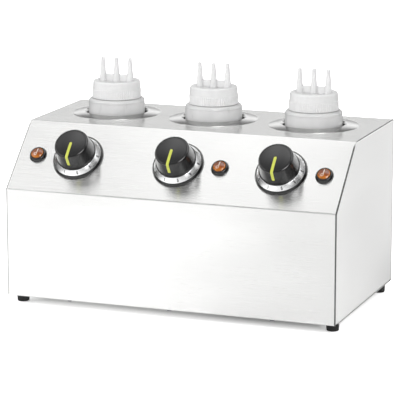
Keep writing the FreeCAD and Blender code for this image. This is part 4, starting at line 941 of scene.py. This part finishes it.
# overhead, a bright patch left of the middle lights up the top plate beside a darker part
offset = addNode(tree, "ShaderNodeMath", (parts["X"], s["patchShift"]), operation="ADD")
offset = addNode(tree, "ShaderNodeMath", [offset], operation="ABSOLUTE")
patch = addNode(tree, "ShaderNodeMapRange", (offset, *s["patch"]))
beside = addNode(tree, "ShaderNodeMapRange", (parts["X"], *s["besidePatch"]))
patch = addNode(tree, "ShaderNodeMath", (patch, beside), operation="ADD")
overhead = addNode(tree, "ShaderNodeMapRange", (parts["Z"], *s["overhead"], patch))
rightward = addNode(tree, "ShaderNodeMapRange", (parts["X"], *s["rightward"]))
horizon = addNode(tree, "ShaderNodeMapRange", (parts["Z"], *s["horizon"], rightward, 1))
# a small bright window at the front right, which lights up the knobs' rims
towards = addNode(tree, "ShaderNodeVectorMath", (direction, s["windowWay"]), operation="DOT_PRODUCT")
glint = addNode(tree, "ShaderNodeMapRange", (towards.outputs["Value"], *s["window"]))
mirror = ramp
for factor in (sides, overhead, horizon):
    mirror = addNode(tree, "ShaderNodeMath", (mirror, factor), operation="MULTIPLY")
mirror = addNode(tree, "ShaderNodeMath", (mirror, glint), operation="ADD")
strength = addNode(tree, "ShaderNodeMix", {0: paths["Is Glossy Ray"], 2: s["matt"], 3: mirror})
for ray in ("Is Camera Ray", "Is Transmission Ray"):
    strength = addNode(tree, "ShaderNodeMix", {0: paths[ray], 2: strength, 3: 1.0})
light = addNode(tree, "ShaderNodeBackground", {"Color": (1, 1, 1, 1), "Strength": strength})
addNode(tree, "ShaderNodeOutputWorld", {"Surface": light})


# Soft rectangular lamps, each turned to face a target, with sizes in metres and power in watts
lamps = {
    "keyLamp": {"place": (-2.1, -1.2, 1.8), "target": (0, 0, 0.15), "size": (1.8, 1.8), "power": 22},
    "rightLamp": {"place": (1.35, -1.75, 0.95), "target": (0, 0, 0.2), "size": (0.28, 1.7), "power": 3.4},
}
for name, s in lamps.items():
    light = bpy.data.lights.new(name, "AREA")
    light.shape, light.energy = "RECTANGLE", s["power"]
    light.size, light.size_y = s["size"]
    away = np.array(s["place"], dtype=float) - s["target"]
    away /= np.linalg.norm(away)
    side = np.cross((0, 0, 1), away)
    side /= np.linalg.norm(side)
    axes = Matrix(np.stack([side, np.cross(away, side), away], 1).tolist())
    addThing(name, light).matrix_world = Matrix.Translation(s["place"]) @ axes.to_4x4()

# Camera: solved from the photograph's corners
cameraSizes = {
    "azimuth": 20.668, "elevation": 12.3335, "roll": -0.0917,
    "place": (0.97789, -2.60819, 0.72927), "lens": 207.62, "sensor": 36.0, "clip": 50.0,
}
s = cameraSizes
a, e, r = (math.radians(s[key]) for key in ("azimuth", "elevation", "roll"))
away = np.array([math.sin(a) * math.cos(e), -math.cos(a) * math.cos(e), math.sin(e)])
right = np.array([math.cos(a), math.sin(a), 0.0])
up = np.cross(away, right)
right, up = math.cos(r) * right + math.sin(r) * up, math.cos(r) * up - math.sin(r) * right
cameraData = bpy.data.cameras.new("camera")
cameraData.lens, cameraData.sensor_width = s["lens"], s["sensor"]
cameraData.clip_end = s["clip"]
camera = addThing("camera", cameraData)
axes = Matrix(np.stack([right, up, away], 1).tolist())
camera.matrix_world = Matrix.Translation(s["place"]) @ axes.to_4x4()
bpy.context.scene.camera = camera
bpy.context.scene.view_settings.view_transform = "Standard"

bpy.context.view_layer.update()
print("scene ready")
